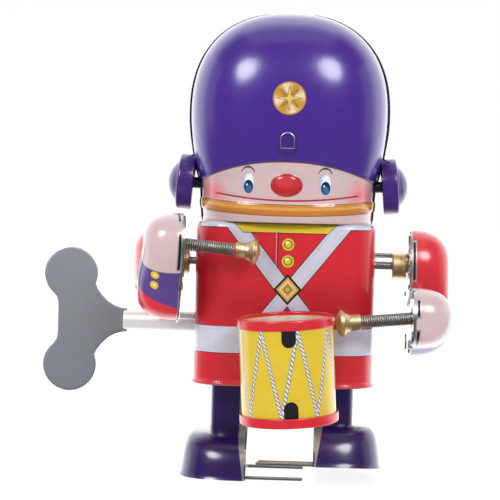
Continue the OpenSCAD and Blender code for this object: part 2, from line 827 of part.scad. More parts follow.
module winding_key() {
    color("silver") {
        translate([0, key_y + 0.5, key_z]) rotate([90, 0, 0]) linear_extrude(1) difference() {
            union() {
                for (s = [-1, 1]) translate([-key_blade_x, s * key_lobe_z]) circle(key_lobe_r);
                polygon([[-60.9, -10.5], [-60.9, 10.5], [-54.5, 18.7], [-50.2, 16.2], [-44.8, 5],
                    [-42.5, 3.4], [-42.5, -3.4], [-44.8, -5], [-50.2, -16.2], [-54.5, -18.7]]);
            }
        }
        difference() {
            bar(-key_neck_x, -12, key_y, key_z, key_tube_r);
            bar(-key_neck_x + 1.2, 0, key_y, key_z, arbor_r);
        }
    }
}

// The arbor that the key turns: it takes the spring's inner end and carries the great wheel.
module winding_arbor() {
    color("gray") {
        bar(-key_neck_x + 1.2, plate_x + plate_t + 0.8, key_y, key_z, arbor_r);
        bar(great_x + great_t + 0.1, great_x + great_t + 0.7, key_y, key_z, 2.4);
        bar(-0.6, 2.2, key_y, key_z, 1.9);
    }
}

// The spring-steel cross that slips over the great wheel's spokes while the key winds.
module click_leaf() {
    color("darkgray") side_plate(2.2, 2.5) translate([key_y, key_z]) difference() {
        union() {
            square([13, 2.6], center = true);
            circle(2.6);
        }
        circle(arbor_r);
    }
}

module great_wheel() {
    color("goldenrod") side_plate(great_x, great_x + great_t) translate([key_y, key_z]) difference() {
        rotate(mesh_angle) gear_outline(great_teeth, great_module);
        circle(arbor_r + running);
        for (a = [0 : 72 : 288]) rotate(a) translate([6, 0]) circle(1.7);
    }
}

module crankshaft() {
    color("gray") bar(-disc_x - disc_t, disc_x + disc_t, crank_y, crank_z, shaft_r);
}

module crank_pinion() {
    color("goldenrod") side_plate(great_x - 0.3, great_x + great_t + 0.3) translate([crank_y, crank_z])
        difference() {
            rotate(mesh_angle + 180 + 180 / crank_teeth) gear_outline(crank_teeth, great_module);
            circle(shaft_r);
        }
}

module crank_wheel() {
    color("goldenrod") side_plate(second_x, second_x + second_t) translate([crank_y, crank_z])
        difference() {
            rotate(governor_angle) gear_outline(second_teeth, fine_module);
            circle(shaft_r);
        }
}

// A disc on each end of the crankshaft with a crank pin: the right pin up and the left one down.
module crank_disc(side) {
    x0 = side * disc_x;
    x1 = side * (disc_x + disc_t);
    color("silver") {
        difference() {
            bar(x0, x1, crank_y, crank_z, disc_r);
            bar(-20, 20, crank_y, crank_z, shaft_r);
        }
        bar(x1, side * (leg_plate_x + leg_plate_t), crank_y, crank_z + side * crank_throw, crank_pin_r);
    }
}
module crank_disc_left() { crank_disc(left); }
module crank_disc_right() { crank_disc(right); }

// The governor's arbor with its pinion cut in one piece.
module governor_arbor() {
    color("gray") {
        bar(-plate_x - plate_t - 0.3, plate_x + plate_t + 0.3, governor_y, governor_z, governor_arbor_r);
        side_plate(second_x - 0.3, second_x + second_t + 0.3) translate([governor_y, governor_z])
            rotate(governor_angle + 180 + 180 / governor_teeth) gear_outline(governor_teeth, fine_module);
    }
}

module escape_wheel() {
    color("goldenrod") side_plate(escape_x, escape_x + escape_t) translate([governor_y, governor_z])
        difference() {
            polygon([for (i = [0 : 2 * escape_teeth - 1]) let (
                a = 90 + pallet_angle + 180 * (i + 1) / escape_teeth,
                r = i % 2 == 0 ? escape_r : escape_r - 1.1) [r * cos(a), r * sin(a)]]);
            circle(governor_arbor_r);
        }
}

module verge_arbor() {
    color("gray") bar(-plate_x - plate_t - 0.3, plate_x + plate_t + 0.3, governor_y, governor_z + verge_rise,
        verge_arbor_r);
}

// The rocking anchor with two pallet pins, which the escape wheel kicks from side to side.
module verge() {
    plate_x0 = escape_x + escape_t + 0.3;
    pin_y = pallet_reach * sin(pallet_angle);
    pin_z = pallet_reach * cos(pallet_angle);
    color("silver") {
        side_plate(plate_x0, plate_x0 + 0.6) translate([governor_y, governor_z]) difference() {
            polygon([[-pin_y - 0.7, pin_z - 0.5], [-pin_y - 0.5, pin_z + 0.8], [-1.4, verge_rise + 1.3],
                [1.4, verge_rise + 1.3], [pin_y + 0.5, pin_z + 0.8], [pin_y + 0.7, pin_z - 0.5],
                [pin_y - 0.4, pin_z - 0.3], [0.9, verge_rise - 1.1], [-0.9, verge_rise - 1.1],
                [-pin_y + 0.4, pin_z - 0.3]]);
            translate([0, verge_rise]) circle(verge_arbor_r);
        }
        for (s = [-1, 1]) bar(escape_x - 0.3, plate_x0, governor_y + s * pin_y, governor_z + pin_z, pallet_pin_r);
    }
}

// ---- Assembly ----

translate(shift) {
    body_front_shell();
    body_back_shell();
    neck_plate();
    base_plate();
    head_front_shell();
    head_back_shell();
    head_brace();
    ear_cup_left();
    ear_cup_right();
    ear_backing_left();
    ear_backing_right();
    shoulder_axle();
    axle_caps();
    motor_plate_left();
    motor_plate_right();
    motor_pillars();
    leg_guide_pins();
    mainspring();
    drum_shell();
    drum_top();
    drum_bottom();
    drum_bracket();
    winding_key();
    winding_arbor();
    click_leaf();
    great_wheel();
    crankshaft();
    crank_pinion();
    crank_wheel();
    crank_disc_left();
    crank_disc_right();
    governor_arbor();
    escape_wheel();
    verge_arbor();
    verge();
    leg_plate_left();
    leg_shell_left();
    foot_wire_left();
    leg_plate_right();
    leg_shell_right();
    foot_wire_right();
    arm_plate_left();
    arm_shell_left();
    arm_bush_left();
    drive_rod_left();
    drumstick_spring_left();
    drumstick_knob_left();
    arm_plate_right();
    arm_shell_right();
    arm_bush_right();
    drive_rod_right();
    drumstick_spring_right();
    drumstick_knob_right();
}
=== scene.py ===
"""The looks of the wind-up tin drummer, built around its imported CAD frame.

Lengths in this script are millimetres in the design's own frame: x = 0 is the middle of the body, y = 0 the
side seams, z = 0 the floor and -y the front. at() turns them into Blender's metres in the row frame.
"""
import json
import math

import bmesh
import bpy
from mathutils import Matrix, Vector


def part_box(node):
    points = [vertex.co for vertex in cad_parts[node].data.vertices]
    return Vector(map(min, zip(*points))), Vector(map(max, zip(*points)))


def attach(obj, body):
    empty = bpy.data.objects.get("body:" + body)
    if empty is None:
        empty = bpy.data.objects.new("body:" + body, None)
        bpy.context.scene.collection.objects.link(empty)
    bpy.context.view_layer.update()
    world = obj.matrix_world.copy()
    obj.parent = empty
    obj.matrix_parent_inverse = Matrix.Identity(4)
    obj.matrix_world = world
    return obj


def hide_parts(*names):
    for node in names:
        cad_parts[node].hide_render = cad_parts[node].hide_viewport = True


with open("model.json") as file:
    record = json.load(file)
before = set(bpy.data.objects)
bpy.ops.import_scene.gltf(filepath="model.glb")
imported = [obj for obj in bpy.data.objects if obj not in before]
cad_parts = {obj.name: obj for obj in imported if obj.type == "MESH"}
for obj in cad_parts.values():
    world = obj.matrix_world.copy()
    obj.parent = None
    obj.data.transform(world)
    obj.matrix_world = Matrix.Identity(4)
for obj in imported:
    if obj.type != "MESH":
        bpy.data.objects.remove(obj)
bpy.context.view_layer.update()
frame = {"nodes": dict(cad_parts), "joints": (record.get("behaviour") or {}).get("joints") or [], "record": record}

LEFT, RIGHT = -1, 1
SIDES = {"left": LEFT, "right": RIGHT}
jacket_low, jacket_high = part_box("body_front_shell")
ORIGIN = Vector(((jacket_low.x + jacket_high.x) / 2, jacket_high.y, 0))


def at(x, y, z):
    """A design point, in Blender's metres."""
    return Vector((x, y, z)) * 0.001 + ORIGIN


def design_box(node):
    """Lowest and highest corner of a CAD node, in design millimetres."""
    low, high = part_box(node)
    return (low - ORIGIN) * 1000, (high - ORIGIN) * 1000


def joint_place(name):
    """Where a joint's axis is, in design millimetres."""
    joint = next(j for j in frame["joints"] if j["name"] == name)
    return (Vector(joint["pos_m"]) - ORIGIN) * 1000


# ---- Driving dimensions, read from the frame or repeated from the CAD ----

SHEET = 0.4
body_low, body_high = design_box("body_front_shell")
HEM_Z, SHOULDER_TOP_Z = body_low.z, body_high.z
BODY_W = body_high.x - body_low.x
BODY_D = -2 * body_low.y
BODY_CORNER_R, SHOULDER_R = 9.0, 1.5

head_low, head_high = design_box("head_front_shell")
CHIN_Z, HAT_TOP_Z = head_low.z, head_high.z
HAT_WIDE_Z = 94.6
HAT_HALF_W = head_high.x
CHIN_HALF_W, BROW_HALF_W = 22.6, 23.2
HAT_SIDE_Z, HAT_FRONT_Z = 77.0, 82.3
HEAD_DEPTH_SHARE = -head_low.y / HAT_HALF_W
HEAD_SQUARENESS = 2.6
DOME_SQUARENESS = 2.38
HAT_EDGE_POWER = 2.2
EYE_X, EYE_Z = 9.9, 76.8
NOSE_Z = 76.2
MOUTH_Z, MOUTH_HALF_W, MOUTH_RISE = 72.25, 18.2, 1.6
STRAP_Z, STRAP_SAG = 69.75, 1.25

DRUM_LEAN, DRUM_PITCH = math.radians(3.5), math.radians(2.2)
DRUM_R, DRUM_BAND_R, DRUM_BAND_H, DRUM_H = 11.9, 12.5, 2.5, 26.7
DRUM_MID = Vector((1.6, -BODY_D / 2 - 1 - DRUM_BAND_R, 30.15))
DRUM_RECESS_TURN = math.radians(4)

SHOULDER_Y, SHOULDER_Z = joint_place("arm_right_drum").yz
ARM_RAISED = {LEFT: math.radians(43), RIGHT: 0}
ARM_SWAY = {LEFT: math.radians(9), RIGHT: math.radians(1.5)}
ARM_DEPTH, HAND_DEPTH = 10.4, 9.6
ELBOW, HAND = Vector((-3, -16)), Vector((-21, -12.1))
HAND_R, SHOULDER_CAP_R, SHOULDER_CAP_H = 7.4, 8.8, 9.7

# ---- Small numeric helpers ----


def clamp01(t):
    return min(1.0, max(0.0, t))


def mix(a, b, t):
    return a + (b - a) * t


def smooth(t):
    t = clamp01(t)
    return t * t * (3 - 2 * t)


def signed_pow(v, p):
    return math.copysign(abs(v) ** p, v)


def spread(a, b, count):
    """count numbers from a to b, both included."""
    return [mix(a, b, i / (count - 1)) for i in range(count)]


# ---- Mesh building ----


def new_piece(name, points, faces, material, body, place=Matrix.Identity(4), replaces=(), sharp=40):
    """A mesh piece from millimetres in its own frame, which its material reads as the "art" attribute.
    place moves the points into the design frame."""
    mesh = bpy.data.meshes.new(name)
    mesh.from_pydata([at(*(place @ Vector(p))) for p in points], [], faces)
    mesh.validate()
    layer = mesh.attributes.new("art", "FLOAT_VECTOR", "POINT")
    layer.data.foreach_set("vector", [c for p in points for c in p])
    mesh.shade_smooth()
    mesh.set_sharp_from_angle(angle=math.radians(sharp))
    mesh.materials.append(material)
    piece = bpy.data.objects.new(name, mesh)
    bpy.context.scene.collection.objects.link(piece)
    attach(piece, body)
    if replaces:
        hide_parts(*replaces)
    return piece


def settle(piece, sharp=40):
    """Applies the piece's modifiers, so that it keeps a plain mesh."""
    bpy.context.view_layer.update()
    graph = bpy.context.evaluated_depsgraph_get()
    mesh = bpy.data.meshes.new_from_object(piece.evaluated_get(graph))
    piece.modifiers.clear()
    piece.data = mesh
    mesh.shade_smooth()
    mesh.set_sharp_from_angle(angle=math.radians(sharp))


def give_thickness(piece, thickness=SHEET, sharp=40):
    """Turns a surface into sheet metal, growing inwards."""
    solid = piece.modifiers.new("sheet", "SOLIDIFY")
    solid.thickness = thickness * 0.001
    solid.offset = -1
    solid.use_even_offset = False
    settle(piece, sharp)


def cut_holes(piece, cutters, place=Matrix.Identity(4)):
    """Cuts the cutters out of the piece and removes them. place is the piece's own, for its art."""
    for cutter in cutters:
        hole = piece.modifiers.new("hole", "BOOLEAN")
        hole.operation = "DIFFERENCE"
        hole.solver = "EXACT"
        hole.object = cutter
    settle(piece)
    for cutter in cutters:
        bpy.data.objects.remove(cutter)
    own = place.inverted()
    piece.data.attributes["art"].data.foreach_set(
        "vector", [c for v in piece.data.vertices for c in own @ ((v.co - ORIGIN) * 1000)])


def cutter_prism(outline, low, high, axis):
    """A scratch prism for cutting: an outline in the plane across an axis, from low to high along it."""
    order = {"x": lambda u, v, w: (w, u, v), "y": lambda u, v, w: (u, w, v)}[axis]
    points = [at(*order(u, v, w)) for w in (low, high) for u, v in outline]
    mesh = bpy.data.meshes.new("cutter")
    mesh.from_pydata(points, [], capped_faces(2, len(outline)))
    form = bmesh.new()
    form.from_mesh(mesh)
    bmesh.ops.recalc_face_normals(form, faces=form.faces)
    form.to_mesh(mesh)
    form.free()
    cutter = bpy.data.objects.new("cutter", mesh)
    bpy.context.scene.collection.objects.link(cutter)
    return cutter


def grid_faces(rows, columns, closed=False):
    """Faces of a grid of points listed row by row; closed joins the last column to the first."""
    wide = columns if closed else columns - 1
    return [(r * columns + c, r * columns + (c + 1) % columns, (r + 1) * columns + (c + 1) % columns,
             (r + 1) * columns + c) for r in range(rows - 1) for c in range(wide)]


def capped_faces(rows, columns):
    """Faces of a stack of closed outlines, with a cap at each end."""
    last = (rows - 1) * columns
    return grid_faces(rows, columns, closed=True) + [tuple(reversed(range(columns))),
                                                     tuple(range(last, last + columns))]


def flipped(faces):
    return [tuple(reversed(f)) for f in faces]


def lathe_mesh(profile, count):
    """Points and faces of a (radius, height) profile turned about Z. A radius of 0 makes a pole, and a
    profile that comes back to its start is closed."""
    points, rings = [], []
    for r, h in profile:
        if rings and (r, h) == profile[0]:
            rings.append(rings[0])
        elif r < 1e-6:
            rings.append([len(points)] * count)
            points.append((0, 0, h))
        else:
            rings.append([len(points) + i for i in range(count)])
            points += [(r * math.cos(math.tau * i / count), r * math.sin(math.tau * i / count), h)
                       for i in range(count)]
    faces = []
    for a, b in zip(rings, rings[1:]):
        for i in range(count):
            j = (i + 1) % count
            faces.append(tuple(dict.fromkeys((a[i], a[j], b[j], b[i]))))
    return points, [f for f in faces if len(f) > 2]


def arc(cx, cy, r, start, end, count=8):
    """Points of an arc, from one angle to another in degrees."""
    return [(cx + r * math.cos(math.radians(a)), cy + r * math.sin(math.radians(a)))
            for a in spread(start, end, count)]


def lathe(name, profile, place, material, body, replaces=(), count=96):
    """A turned piece from its profile, in a frame whose Z is its axis."""
    points, faces = lathe_mesh(profile, count)
    return new_piece(name, points, faces, material, body, place, replaces, sharp=35)


def tube_along(path, r, sides):
    """Points and faces of a round wire along a path, with domed ends."""
    path = [Vector(p) for p in path]
    tangents = [(path[min(i + 1, len(path) - 1)] - path[max(i - 1, 0)]).normalized() for i in range(len(path))]
    side = tangents[0].orthogonal().normalized()
    points = []
    for p, t in zip(path, tangents):
        side = (side - t * side.dot(t)).normalized()
        up = t.cross(side)
        points += [p + r * (side * math.cos(math.tau * k / sides) + up * math.sin(math.tau * k / sides))
                   for k in range(sides)]
    faces = grid_faces(len(path), sides, closed=True)
    last = (len(path) - 1) * sides
    for base, p, t in ((0, path[0], -tangents[0]), (last, path[-1], tangents[-1])):
        tip = len(points)
        points.append(p + t * r * 0.6)
        for k in range(sides):
            pair = (base + k, base + (k + 1) % sides)
            faces.append((tip, *pair) if base else (tip, *reversed(pair)))
    return [tuple(p) for p in points], faces


# ---- Paint: procedural node materials ----


def set_inputs(node, values):
    for socket, value in values.items():
        node.inputs[socket].default_value = value


class Field:
    """A number over a surface: a socket in a paint's node tree, or a plain number."""

    def __init__(self, paint, value):
        self.paint, self.value = paint, value

    def math(self, operation, *others, clamp=False):
        node = self.paint.add("ShaderNodeMath", operation=operation, use_clamp=clamp)
        for socket, item in zip(node.inputs, (self, *others)):
            self.paint.feed(socket, item)
        return Field(self.paint, node.outputs[0])

    def maths(operation):
        """A method that does one of the math node's operations with the other numbers it is given."""
        return lambda self, *others: self.math(operation, *others)

    __add__, __sub__, __mul__, __truediv__ = maths("ADD"), maths("SUBTRACT"), maths("MULTIPLY"), maths("DIVIDE")
    __radd__, __rmul__, __abs__ = __add__, __mul__, maths("ABSOLUTE")
    sqrt, power, sine, above = maths("SQRT"), maths("POWER"), maths("SINE"), maths("GREATER_THAN")
    least, most, sign, arctan2 = maths("MINIMUM"), maths("MAXIMUM"), maths("SIGN"), maths("ARCTAN2")

    def __rsub__(self, other):
        return Field(self.paint, other) - self

    def __neg__(self):
        return self * -1

    def clamped(self):
        return self.math("ADD", 0, clamp=True)

    def wrapped(self, low, high):
        return self.math("WRAP", high, low)

    def inside(self, blur=0.08):
        """1 where a signed distance is below 0, fading over blur."""
        return self.math("MULTIPLY_ADD", -1 / blur, 0.5, clamp=True)


class Paint:
    """A material made of nodes. Its masks read the "art" attribute, the millimetres of the piece's own frame.
    A CAD node has no such attribute, so there they read the object's coordinates."""

    def __init__(self, name, attribute=True):
        self.material = bpy.data.materials.new(name)
        self.material.use_nodes = True
        self.tree = self.material.node_tree
        self.shader = next(n for n in self.tree.nodes if n.type == "BSDF_PRINCIPLED")
        if attribute:
            self.place = self.add("ShaderNodeAttribute", attribute_name="art").outputs["Vector"]
        else:
            objects = self.add("ShaderNodeTexCoord").outputs["Object"]
            scale = self.add("ShaderNodeVectorMath", operation="SCALE")
            self.tree.links.new(objects, scale.inputs[0])
            scale.inputs["Scale"].default_value = 1000
            self.place = scale.outputs[0]
        parts = self.add("ShaderNodeSeparateXYZ")
        self.tree.links.new(self.place, parts.inputs[0])
        self.x, self.y, self.z = (Field(self, s) for s in parts.outputs)

    def add(self, kind, **settings):
        node = self.tree.nodes.new(kind)
        for key, value in settings.items():
            setattr(node, key, value)
        return node

    def feed(self, socket, item):
        """Gives a socket a field, another socket, a number or a colour."""
        item = item.value if isinstance(item, Field) else item
        item = (*item, 1) if isinstance(item, tuple) else item
        if isinstance(item, bpy.types.NodeSocket):
            self.tree.links.new(item, socket)
        else:
            socket.default_value = item

    def noise(self, scale, detail=3.0, rough=0.5, stretch=(1, 1, 1)):
        """Noise from 0 to 1 with features of about 1/scale millimetres."""
        stretched = self.add("ShaderNodeVectorMath", operation="MULTIPLY")
        self.tree.links.new(self.place, stretched.inputs[0])
        stretched.inputs[1].default_value = stretch
        node = self.add("ShaderNodeTexNoise")
        self.tree.links.new(stretched.outputs[0], node.inputs["Vector"])
        set_inputs(node, {"Scale": scale, "Detail": detail, "Roughness": rough})
        return Field(self, node.outputs["Fac"])

    def over(self, under, colour, mask):
        """colour laid over another where the mask is 1."""
        node = self.add("ShaderNodeMix", data_type="RGBA")
        self.feed(node.inputs[0], mask)
        for socket, item in ((node.inputs[6], under), (node.inputs[7], colour)):
            self.feed(socket, item)
        return node.outputs[2]

    @staticmethod
    def only(where, rows):
        """The same rows, each kept to where another mask is 1."""
        return [(colour, mask * where) for colour, mask in rows]

    def shape(self, rows):
        """Lays (colour, mask) rows over each other, the first row's colour everywhere."""
        colour = rows[0]
        for layer, mask in rows[1:]:
            colour = self.over(colour, layer, mask)
        return colour

    # Signed distances, in x and z where nothing else is given.

    def ellipse(self, cx, cz, rx, rz, x=None, z=None):
        u = ((x or self.x) - cx) / rx
        v = ((z or self.z) - cz) / rz
        return ((u * u + v * v).sqrt() - 1) * min(rx, rz)

    def band(self, value, middle, half):
        return abs(value - middle) - half

    def stroke(self, start, end, half):
        dx, dz = end[0] - start[0], end[1] - start[1]
        length2 = dx * dx + dz * dz
        u, v = self.x - start[0], self.z - start[1]
        share = ((u * dx + v * dz) / length2).clamped()
        a, b = u - share * dx, v - share * dz
        return (a * a + b * b).sqrt() - half

    def surface(self, colour, roughness, metallic, bump, bump_depth, coat=0.0):
        """Connects the finished colour and sets the shader's own sockets."""
        for socket, item in (("Base Color", colour), ("Roughness", roughness), ("Metallic", metallic)):
            self.feed(self.shader.inputs[socket], item)
        set_inputs(self.shader, {"Coat Weight": coat, "Coat Roughness": COAT_ROUGHNESS})
        node = self.add("ShaderNodeBump")
        set_inputs(node, {"Strength": 1, "Distance": bump_depth * 0.001})
        self.feed(node.inputs["Height"], bump)
        self.tree.links.new(node.outputs[0], self.shader.inputs["Normal"])
        return self.material

    def lithographed(self, colour, bare_edge=None):
        """Printed tin: faint mottling in the ink, tiny chips down to the tin and a hard clear lacquer."""
        mottle = self.noise(0.35, 4) * 0.16 + 0.92
        shade = self.add("ShaderNodeMix", data_type="RGBA", blend_type="MULTIPLY")
        shade.inputs[0].default_value = 1
        grey = self.add("ShaderNodeCombineColor")
        for socket in grey.inputs:
            self.feed(socket, mottle)
        self.feed(shade.inputs[6], colour)
        self.tree.links.new(grey.outputs[0], shade.inputs[7])
        chips = (self.noise(1.6, 2, 0.6) - 0.765).math("MULTIPLY", 30, clamp=True)
        if bare_edge is not None:
            chips = chips.most(bare_edge)
        colour = self.over(shade.outputs[2], TIN, chips * 0.8)
        ripple = self.noise(0.22, 2) + self.noise(9, 2) * 0.02
        self.shader.inputs["Specular IOR Level"].default_value = 0.2
        return self.surface(colour, roughness=self.noise(0.8, 3) * 0.12 + 0.28, metallic=chips * 0.7, coat=1.0,
                            bump=ripple, bump_depth=0.08)


TIN = (0.55, 0.54, 0.52)
COAT_ROUGHNESS = 0.19
SKIN = (0.62, 0.455, 0.465)
PURPLE = (0.052, 0.014, 0.240)
LEG_PURPLE = (0.030, 0.006, 0.120)
RED = (0.64, 0.014, 0.026)
WHITE = (0.60, 0.59, 0.71)
YELLOW = (0.72, 0.52, 0.03)
GOLD = (0.62, 0.40, 0.08)
BLACK = (0.008, 0.008, 0.012)


def paint_head():
    """Face, chin strap and hat: the head's paint, its rows and the mask of its front half."""
    p = Paint("printed_head")
    x, z, front = p.x, p.z, (p.y + 0.3).inside(0.4)
    across = abs(x)
    sag = (x / 22).power(2)
    strap_z = z - sag * STRAP_SAG
    strap = p.band(strap_z, STRAP_Z, 1.35)
    chin_line = p.band(z - sag * 0.4, 67.55, 0.1)
    mouth = p.band(z - (x / MOUTH_HALF_W).power(2) * MOUTH_RISE, MOUTH_Z, 0.22).most(across - MOUTH_HALF_W - 0.2)
    cheek = 1 - (p.ellipse(19.2, 74.0, 1, 1, x=across) + 1) / 4.6
    rows = [SKIN,
            # The darker skin along the chin's lower edge is painted shade.
            ((0.50, 0.33, 0.32), p.band(z, 66.8, 0.5).inside(0.8) * 0.4),
            ((0.42, 0.24, 0.16), chin_line.inside(0.16) * 0.35),
            *p.only(front, [((0.80, 0.10, 0.14), cheek.clamped() * 0.85), ((0.42, 0.012, 0.03), mouth.inside())])]
    for side in (LEFT, RIGHT):
        cx = side * EYE_X
        white = p.ellipse(cx, EYE_Z, 1.5, 2.45)
        iris = p.ellipse(cx + 0.1, EYE_Z - 1.1, 1.18, 1.72)
        glow = p.ellipse(cx + 0.15, EYE_Z - 1.6, 0.8, 1.0)
        glint = p.ellipse(cx - 0.3, EYE_Z - 0.6, 0.2, 0.26)
        lid = abs(p.ellipse(cx - 0.05, EYE_Z + 2.2, 1.75, 1.75)) - (0.30 - abs(x - cx) * 0.11)
        rows += p.only(front, [((0.10, 0.14, 0.22), (white - 0.07).inside(0.1) * 0.6),
                               ((0.34, 0.55, 0.86), white.inside()),
                               ((0.88, 0.92, 0.98), p.ellipse(cx + 0.25, EYE_Z + 0.2, 1.1, 2.0).inside(0.5)),
                               ((0.004, 0.014, 0.05), iris.inside()),
                               ((0.02, 0.14, 0.36), glow.inside(0.5)),
                               ((0.80, 0.88, 0.95), glint.inside(0.2)),
                               (BLACK, lid.most(EYE_Z + 2.55 - z).inside(0.12) * 0.9)])
    nose = p.ellipse(0, NOSE_Z, 4.0, 2.85)
    rows += p.only(front, [((0.22, 0.01, 0.02), (nose - 0.12).inside() * 0.8),
                           ((0.50, 0.010, 0.016), nose.inside()),
                           # The lighter red patch on the nose's upper half is a painted highlight.
                           ((0.66, 0.06, 0.06), p.ellipse(0, NOSE_Z + 0.8, 2.6, 1.3).inside(1.4) * 0.6)])
    rows += [((0.20, 0.07, 0.01), (strap - 0.18).inside(0.15)),
             ((0.55, 0.20, 0.025), strap.inside()),
             # The lighter orange band along the strap's upper half is a painted highlight.
             ((0.82, 0.45, 0.12), p.band(strap_z, STRAP_Z + 0.35, 0.35).inside(0.6) * 0.6)]
    edge = HAT_FRONT_Z - (across / BROW_HALF_W).power(HAT_EDGE_POWER) * (HAT_FRONT_Z - HAT_SIDE_Z)
    rows += [(BLACK, (edge - z - 0.30).inside(0.2) * 0.85), (PURPLE, (edge - z).inside(0.1))]
    return p, rows, front


def paint_badge_rows(p, front):
    """A gold disc with a printed eight-pointed star on the hat's front."""
    cx, cz, r = 0.2, 98.4, 4.15
    u, v = p.x - cx, p.z - cz
    radius = (u * u + v * v).sqrt()
    angle = v.arctan2(u)
    disc = radius - r
    sheen = (angle * 4 + 0.6).sine() * 0.5 + 0.5
    turns = (angle * (8 / math.tau)).wrapped(0, 1)
    point = abs(turns * 2 - 1)
    star = radius - (0.95 + point.power(1.5) * 2.15)
    long_rays = abs(u).least(abs(v))
    return p.only(front, [
        ((0.40, 0.14, 0.02), (disc - 0.12).inside()),
        ((0.50, 0.26, 0.025), disc.inside()),
        ((0.84, 0.74, 0.50), (disc + 0.25).inside() * sheen.power(1.6) * 0.75),
        ((0.42, 0.20, 0.02), star.inside(0.1) * 0.7),
        ((0.78, 0.55, 0.14), (long_rays - (3.6 - radius) * 0.16).inside(0.1) * (radius - 3.2).inside() * 0.8),
        ((0.02, 0.01, 0.004), (abs(star) - 0.15).inside(0.1) * (disc + 0.6).inside())])


def finish_head():
    p, rows, front = paint_head()
    colour = p.shape(rows + paint_badge_rows(p, front))
    return p.lithographed(colour, bare_edge=(p.z - CHIN_Z + 0.25).inside(0.15))


def paint_jacket():
    """Red jacket with crossed white straps, a belt, a yellow collar, two buttons and a gold diamond."""
    p = Paint("printed_jacket")
    x, z, front = p.x, p.z, (p.y + 0.6).inside(0.4)
    across = abs(x)
    belt = p.band(z, 36.0, 3.4)
    middle, cross_z, belt_top = 0.9, 49.35, 39.4
    left_strap, right_strap = (p.stroke((middle + side * 14.4, 66.4), (middle - side * 10.2, belt_top - 4), 1.95)
                               for side in (LEFT, RIGHT))
    shoulder = p.band(z, 66.9, 1.75).most(p.band(across, 16.9, 5.3))
    centre_line = p.band(x, -1.9, 0.13).most(p.band(z, 59.6, 4.6))
    white = left_strap.least(right_strap).least(shoulder)
    collar = (across - 10.9 - (z - 64.0)).most(64.0 - z)
    chest = (z - belt_top).above(0) * front
    u, v = abs(x - middle) / 3.7, abs(z - cross_z) / 4.05
    diamond = (u + v - 1) * 2.7
    shading = ((z - 40) / 24).clamped()
    engraved = (0.16, 0.09, 0.02)
    rows = [RED,
            # The deeper red over the lower chest, fading out towards the shoulders, is painted shade.
            ((0.34, 0.004, 0.012), (1 - shading) * p.band(z, 46, 6).inside(8) * 0.55),
            (BLACK, (white - 0.22).inside() * chest),
            (WHITE, white.inside() * chest),
            ((0.50, 0.50, 0.62), (abs(left_strap.least(right_strap) + 0.65) - 0.16).inside(0.2) * chest * 0.6),
            *p.only(front, [(BLACK, (collar - 0.2).inside()),
                            (YELLOW, collar.inside()),
                            # The brighter yellow band along the collar's top is a painted highlight.
                            ((0.95, 0.75, 0.10), p.band(z, 66.0, 0.5).most(across - 9).inside(0.6) * 0.5),
                            (BLACK, centre_line.inside()),
                            (WHITE, p.band(x, -2.2, 0.09).most(p.band(z, 59.6, 4.6)).inside() * 0.6)]),
            (BLACK, (belt - 0.15).inside(0.1)),
            (WHITE, belt.inside()),
            ((0.50, 0.50, 0.64), (abs(belt + 0.7) - 0.12).inside(0.15) * 0.6),
            *p.only(front, [(BLACK, diamond.inside()),
                            (GOLD, (diamond + 0.55).inside()),
                            ((0.85, 0.62, 0.30), (abs(diamond + 1.25) - 0.16).inside(0.12)),
                            (engraved, (abs(p.ellipse(middle, cross_z, 0.75, 0.75)) - 0.14).inside(0.1) * 0.8),
                            (engraved, (abs(diamond + 1.9) - 0.1).inside(0.1) * 0.7)])]
    for button_z in (61.0, 56.65):
        button = p.ellipse(0.8, button_z, 1.6, 1.6)
        rows += p.only(front, [(BLACK, (button - 0.12).inside()),
                               (YELLOW, button.inside()),
                               ((0.10, 0.06, 0.01), (abs(button + 0.62) - 0.13).inside(0.1)),
                               # The small pale spot at each button's upper left is a painted highlight.
                               ((0.95, 0.85, 0.45), p.ellipse(0.55, button_z + 0.5, 0.5, 0.35).inside(0.3))])
    # The lighter red band along the rolled hem is a painted highlight.
    rows.append(((0.75, 0.05, 0.08), p.band(z, HEM_Z + 0.9, 0.7).inside(0.5) * 0.6))
    return p.lithographed(p.shape(rows), bare_edge=(z - HEM_Z - 0.22).inside(0.15))


def paint_drum():
    """Yellow tin with eight printed zigzags of twisted white cord, in the drum's own frame."""
    p = Paint("printed_drum")
    angle = p.x.arctan2(-p.y)
    step = math.radians(45)
    top_z, low_z = DRUM_H - DRUM_BAND_H, DRUM_BAND_H
    share = (p.z - low_z) / (top_z - low_z)
    # Distance round the drum from the nearest zigzag's middle line.
    turn = ((angle - math.radians(15)) / step).wrapped(-0.5, 0.5)
    line = abs(turn) - (1 - share) * 0.5
    slope = step * DRUM_R * 0.5 / (top_z - low_z)
    distance = abs(line * (step * DRUM_R)) * (1 / math.hypot(1, slope))
    along = p.z * math.hypot(1, slope)
    tilt = turn.sign() * line * (step * DRUM_R)
    twist = (along * 5.6 + tilt * 6.5).sine()
    dark_strand = twist.above(0.35)
    rows = [(0.70, 0.49, 0.014),
            ((0.74, 0.55, 0.07), p.noise(0.12, 2) * 0.3),
            ((0.14, 0.14, 0.20), (distance - 0.50).inside(0.12) * 0.8),
            ((0.74, 0.74, 0.76), (distance - 0.36).inside(0.08)),
            ((0.05, 0.05, 0.10), (distance - 0.38).inside(0.08) * dark_strand * 0.85)]
    return p.lithographed(p.shape(rows))


